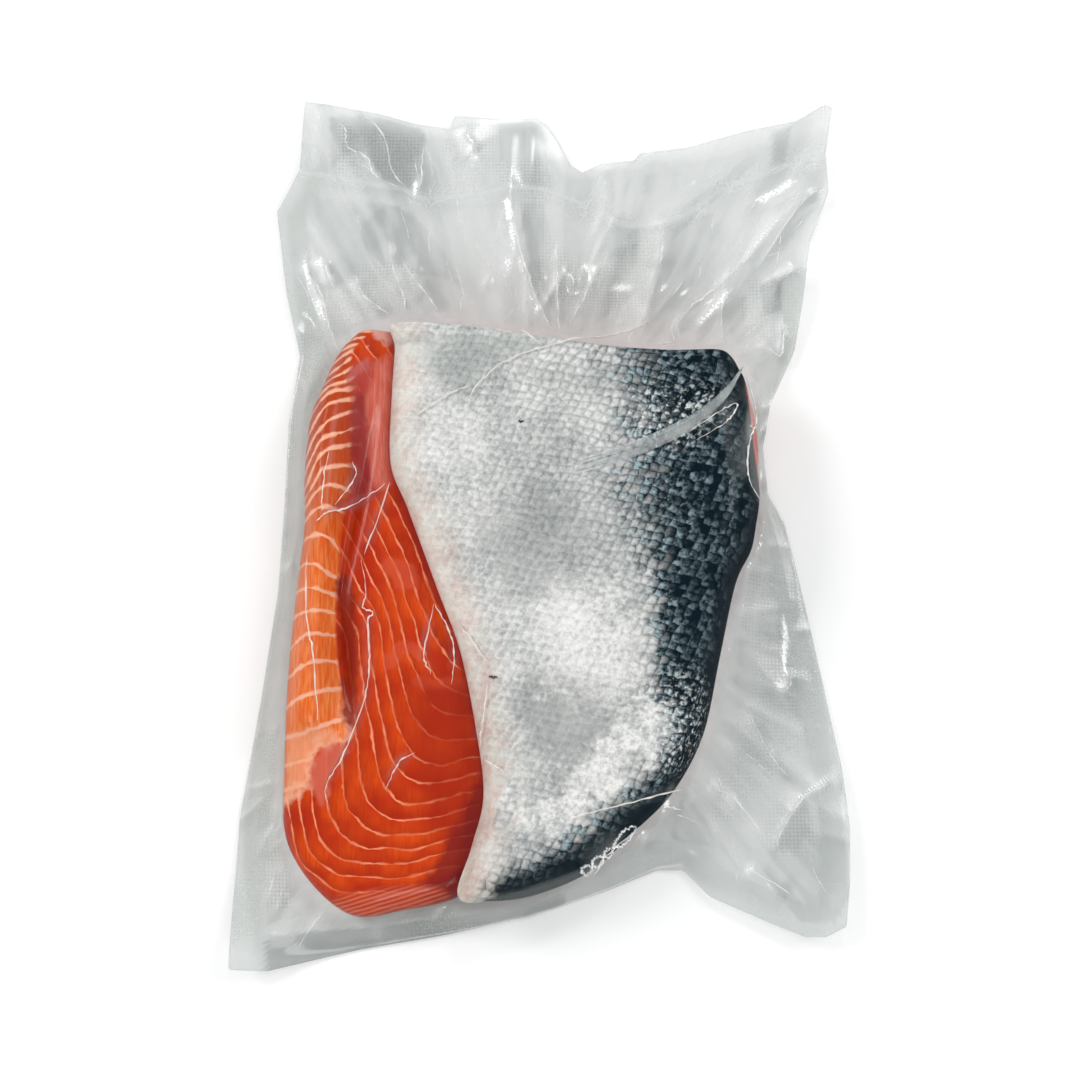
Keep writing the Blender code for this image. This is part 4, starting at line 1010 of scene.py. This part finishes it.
# At the cut end the film bridges a step without touching the skin, and veils it
VEILED = ((-59, 69), (6, 65), (-18, 54), (-28, 46), (-37, 45), (-49, 54))
bag = np.array(POUCH_TOP + POUCH_RIGHT + POUCH_BOTTOM + POUCH_LEFT, float)[::-1]
rim = evenly(bag, FILM_AROUND)
shares = np.concatenate([[1, 0.995, 0.988], np.linspace(0.978, 0.01, FILM_RINGS - 3)])[:, None, None]
places = np.array(FISH_MIDDLE) + shares * (rim - np.array(FISH_MIDDLE))[None]
x, y = places[..., 0], places[..., 1]
edge = inside(x, y, bag)
over = on_grid(fish, x, y)
margin_here = on_grid(margin, x, y)
lifted = on_grid(film - creases, x, y)
height = margin_here + (lifted - margin_here) * smooth(edge / 9) + on_grid(creases, x, y) * smooth(edge / 3)
in_air = smooth((from_fish(x, y) - 1.5) / 3)
sides = np.array((POUCH_RIGHT[4:] + POUCH_BOTTOM + POUCH_LEFT), float)
sealed = 1 - smooth((distance(x, y, sides)[0] - SEAL_BAND) / 1.5)
veil = smooth(inside(x, y, curve(VEILED, 4, closed=True)) / 3)
# The film's painted light and shade: the creases' slope to the light, the facets and the pleats
turned = on_grid(sheen, x, y)
turned = turned + sum(tone * smooth(inside(x, y, np.array(loop)) / 0.9) for tone, loop in FACETS)
out_x, out_y = x - FISH_MIDDLE[0], y - FISH_MIDDLE[1]
reach = np.hypot(out_x, out_y)
drift = reach / PLEAT_LENGTH
pleat = cloudy(FAN * out_x / (reach + 1) + drift, FAN * out_y / (reach + 1) + 0.7 * drift, 4)
tone = turned + in_air * (1 - sealed) * PLEAT_TONE * np.clip((pleat - 0.5) / 0.2, -1, 1)
bright = 0.8 * np.clip((tone - TONE_FROM) / TONE_OVER, 0, 1)
dim = 0.9 * np.clip((-tone - TONE_FROM) / TONE_OVER, 0, 1)
mottle = MOTTLE * np.clip((cloudy(x / 17, y / 17, 4) - 0.5) / 0.25, -1, 1)
haze = ALPHA_WET + in_air * (ALPHA_AIR - ALPHA_WET + mottle) + sealed * (ALPHA_SEALED - ALPHA_AIR)
haze += ALPHA_VEIL * veil + ALPHA_RIM * (1 - smooth(edge / 0.7)) + ALPHA_BRIGHT * bright + ALPHA_DIM * dim
seal = distance(x, y, curve(SEAL_LINE, 4))[0]
quilt = sum(smooth(inside(x, y, np.array(loop)) / 6) for loop in QUILTED)
quilt = np.maximum(quilt, 0.6 * smooth((cloudy(x / 32, y / 32, 2) - 0.55) / 0.15)) * in_air
facts = {"haze": haze, "bright": bright, "dim": dim, "sheen": turned, "quilt": quilt, "seal": seal}
facts["trapped"] = 0.7 * smooth((cloudy(x / 11, y / 11, 1) - 0.5) / 0.2) * (1 - smooth((seal - 2) / 5))
front = piece("pouch_film_front", np.stack([x, y, height], -1), facts, film_material(), shut=False)
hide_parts("pouch_front")

# The lower sheet is the same film, flat on the table under the fish and sealed to the upper one round the
# rim. It is a fainter haze, on a grid three times as coarse.

UNDER_WET, UNDER_AIR, UNDER_SEALED = 0.08, 0.12, 0.2
thin = slice(None, None, 3)
x, y = x[thin], y[thin]
table = margin_height(x, y) + 0.1
facts = {"haze": np.where(over[thin] > 1, UNDER_WET, UNDER_AIR) + sealed[thin] * (UNDER_SEALED - UNDER_AIR)}
material, tree, shader, place = blank("cast film, lower")
haze = add(tree, "Attribute", out=2, attribute_name="haze")
mottle = add(tree, "TexNoise", {"Vector": place, "Scale": 1 / 9, "Detail": 3.0})
mottle = add(tree, "MapRange", {0: mottle, 1: 0.3, 2: 0.7, 3: -0.03, 4: 0.03})
haze = add(tree, "Math", {0: haze, 1: mottle}, operation="ADD")
tree.links.new(haze, shader.inputs["Alpha"])
shader.inputs["Base Color"].default_value = colour(FILM_COLOUR)
shader.inputs["Roughness"].default_value = FILM_ROUGHNESS
shader.inputs["IOR"].default_value = FILM_IOR
back = piece("pouch_film_back", np.stack([x, y, table], -1), facts, material, shut=False)
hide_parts("pouch_back")

# Creases: where the film is pinched together it stands up as a hard thin ridge, whiter than the
# rest, and catches the light along its whole length. Its near-opaque white is partly the pinch's own
# whitening and partly a painted glint.

CREASE_ROUGHNESS = 0.15


def ridges(name, lines, width, height, material, surface, uneven=1.0):
    """Long low prisms along lines on a surface: width and height follow the root of a sine from end to end.

    Their places and widths vary at random, less where uneven is under 1.
    """
    points, faces, start = [], [], 0
    for line in lines:
        path = curve(line, 8)
        count = len(path)
        along = np.gradient(path, axis=0)
        side = np.stack([-along[:, 1], along[:, 0]], -1) / np.linalg.norm(along, axis=1)[:, None]
        path = path + side * random.normal(0, 0.25 * uneven * width, (count, 1))
        swell = np.sqrt(np.sin(np.linspace(0.06, math.pi - 0.06, count)))[:, None]
        wide = swell * width / 2 * random.uniform(0.5, 1.4, (count, 1)) ** uneven
        left, right = path + side * wide, path - side * wide
        base = on_grid(surface, path[:, 0], path[:, 1])[:, None]
        crest = np.hstack([path, base + 0.1 + height * swell])
        rows = np.stack([np.hstack([left, base - 0.1]), crest, np.hstack([right, base - 0.1])], 1)
        points.append(rows.reshape(-1, 3))
        i = start + 3 * np.arange(count - 1)[:, None]
        sides = [np.hstack([i + a, i + 3 + a, i + 3 + b, i + b]) for a, b in ((0, 1), (1, 2), (2, 0))]
        faces += np.concatenate(sides).tolist()
        faces.append([start, start + 1, start + 2])
        start += 3 * count
        faces.append([start - 1, start - 2, start - 3])
    made = put(name, np.vstack(points), faces, material)


def crease_material(name, tint, alpha):
    """Film whitened by a pinch, and painted white as a glint, more in some places than in others."""
    material, tree, shader, place = blank(name)
    patchy = add(tree, "TexNoise", {"Vector": place, "Scale": 1 / 7, "Detail": 2.0})
    patchy = add(tree, "MapRange", {0: patchy, 1: 0.35, 2: 0.6, 3: 0.55 * alpha, 4: alpha})
    tree.links.new(patchy, shader.inputs["Alpha"])
    shader.inputs["Base Color"].default_value = colour(tint)
    shader.inputs["Roughness"].default_value = CREASE_ROUGHNESS
    shader.inputs["IOR"].default_value = FILM_IOR
    return material


def ring(centre, half_long, half_wide, turn):
    """A small loop: an ellipse of 9 points round a centre, turned, from one tip back to it."""
    t = np.linspace(0, 2 * math.pi, 9)
    u, v = half_long * np.cos(t), half_wide * np.sin(t)
    x = centre[0] + u * math.cos(turn) - v * math.sin(turn)
    y = centre[1] + u * math.sin(turn) + v * math.cos(turn)
    return np.stack([x, y], -1)


# Short creases all over the margins point away from the fish: drawn at random with one seed, and
# kept where the film is free and unsealed. Air caught on the black edge makes a chain of rings,
# drawn white as painted glints.
FINE_CREASES = 240
FINE_LEAST, FINE_MOST = (-118, -175, -0.7, 5, -0.4), (118, 175, 0.7, 20, 0.4)
small_creases = []
for across, along, turn, length, bend in random.uniform(FINE_LEAST, FINE_MOST, (FINE_CREASES, 5)):
    begin = np.array([across, along])
    heading = math.atan2(along - FISH_MIDDLE[1], across - FISH_MIDDLE[0]) + turn
    middle = begin + length / 2 * np.array([math.cos(heading), math.sin(heading)])
    end = middle + length / 2 * np.array([math.cos(heading + bend), math.sin(heading + bend)])
    line = np.array([begin, middle, end])
    clear = (inside(line[:, 0], line[:, 1], bag) > 5) & (on_grid(fish, line[:, 0], line[:, 1]) == 0)
    if clear.all():
        small_creases.append(line)
RINGS_TURN = math.radians(42)
# Each ring's middle, and half its length and width
AIR_RINGS = (
    (15.7, -139.3, 2.0, 1.6),
    (19.7, -136.2, 2.4, 1.7),
    (23.8, -133.0, 2.0, 1.4),
    (30.2, -126.8, 5.6, 1.8),
)
air_rings = [ring((x, y), long, wide, RINGS_TURN) for x, y, long, wide in AIR_RINGS]
# Each kind: its piece, lines, width and height, then its material's name, colour and alpha
CREASE_KINDS = (
    ("film_creases_margin", MARGIN_CREASES, 0.7, 0.35, "pinched film", "#FFFFFF", 0.95),
    ("film_creases_small", small_creases, 0.45, 0.2, "lightly pinched film", "#FFFFFF", 0.9),
    ("film_creases_fish", FISH_CREASES, 0.6, 0.3, "pinched film on fish", "#FFFAF4", 0.95),
    ("film_air_rings", air_rings, 1.1, 0.2, "film round trapped air", "#FFFFFF", 1.0),
)
for name, lines, width, height, finish, tint, alpha in CREASE_KINDS:
    ridges(name, lines, width, height, crease_material(finish, tint, alpha), film)

# A broad soft fold of loose film runs down from the upper right corner over the back. The film lies
# double there, and shows as pale streaks side by side.

FOLD_MIDDLE = ((78, 55), (70, 42), (56, 30), (35, 20), (13, 13))
FOLD_SHIFTS = (-3.2, -1.6, -0.8, 1.2, 2.6)
fold_streaks = [np.array(FOLD_MIDDLE) + (0.5 * shift, shift) for shift in FOLD_SHIFTS]
doubled = crease_material("doubled film", "#D5DADA", 0.24)
ridges("film_fold", fold_streaks, 1.8, 0.12, doubled, film, uneven=0.12)

# Specks: a few dark grains of the back's pigment, loosened with the scales and stuck to the silver
# skin under the film.

SPECKS = (
    ((-21.5, -66.7), (-19.8, -67.0), (-18.2, -67.4)), ((-10.2, 31.5), (-9.2, 31.0), (-8.2, 31.0)),
    ((39.8, -19.8), (40.6, -20.1), (41.6, -20.2)), ((52.8, -23.4), (53.8, -23.6), (54.8, -24.2)),
)
material, tree, shader, place = blank("dark pigment")
grain = add(tree, "TexNoise", {"Vector": place, "Scale": 2.0, "Detail": 2.0})
grain = add(tree, "Mix", {0: grain, 6: colour("#0E1518"), 7: colour("#3A4448")}, 2, data_type="RGBA")
tree.links.new(grain, shader.inputs["Base Color"])
ridges("skin_specks", SPECKS, 0.9, 0.15, material, fish)

# The stage: a table top of pale laminate, soft light from a window, two walls and a lamp, and the camera
# nearly above.

HALF_TABLE = 3.0
corners = [(x * HALF_TABLE, y * HALF_TABLE, 0) for x, y in ((-1, -1), (1, -1), (1, 1), (-1, 1))]
mesh = bpy.data.meshes.new("table")
mesh.from_pydata(corners, [], [(0, 1, 2, 3)])
table = bpy.data.objects.new("table", mesh)
bpy.context.scene.collection.objects.link(table)
material, tree, shader, place = blank("white laminate")
shader.inputs["Base Color"].default_value = colour("#FBFBFA")
shader.inputs["Roughness"].default_value = 0.6
mesh.materials.append(material)

# Name, place and size in metres, and power in watts
LIGHTS = (
    ("window", (-1.40, 0.70, 1.30), 0.6, 15.0),
    ("far_wall", (1.30, 0.60, 1.30), 0.7, 11.0),
    ("near_wall", (0.30, -1.50, 1.30), 0.7, 11.0),
    ("lamp", (0.30, 1.50, 1.80), 0.2, 5.0),
)
for name, place, size, power in LIGHTS:
    lamp = bpy.data.lights.new(name, "AREA")
    lamp.size = size
    lamp.energy = power
    held_at = bpy.data.objects.new(name, lamp)
    held_at.location = place
    toward = Vector((0, 0, 0.02)) - held_at.location
    held_at.rotation_euler = toward.to_track_quat("-Z", "Y").to_euler()
    bpy.context.scene.collection.objects.link(held_at)

world = bpy.data.worlds.new("room")
world.use_nodes = True
world.node_tree.nodes["Background"].inputs["Color"].default_value = colour("#F4F6F8")
world.node_tree.nodes["Background"].inputs["Strength"].default_value = 0.5
bpy.context.scene.world = world
bpy.context.scene.view_settings.view_transform = "Standard"

# Where the camera looks, how far off and how steeply, and the tangent of half its angle of view
CAMERA_TARGET = (-0.00194, -0.01023, 0.010)
CAMERA_DISTANCE, CAMERA_RISE = 0.650, math.radians(80)
SEEN_HALF = 0.3323
camera = bpy.data.cameras.new("camera")
camera.sensor_width = 36.0
camera.lens = camera.sensor_width / 2 / SEEN_HALF
eye = bpy.data.objects.new("camera", camera)
away = Vector((0, -math.cos(CAMERA_RISE), math.sin(CAMERA_RISE)))
eye.location = Vector(CAMERA_TARGET) + CAMERA_DISTANCE * away
eye.rotation_euler = (-away).to_track_quat("-Z", "Y").to_euler()
bpy.context.scene.collection.objects.link(eye)
bpy.context.scene.camera = eye
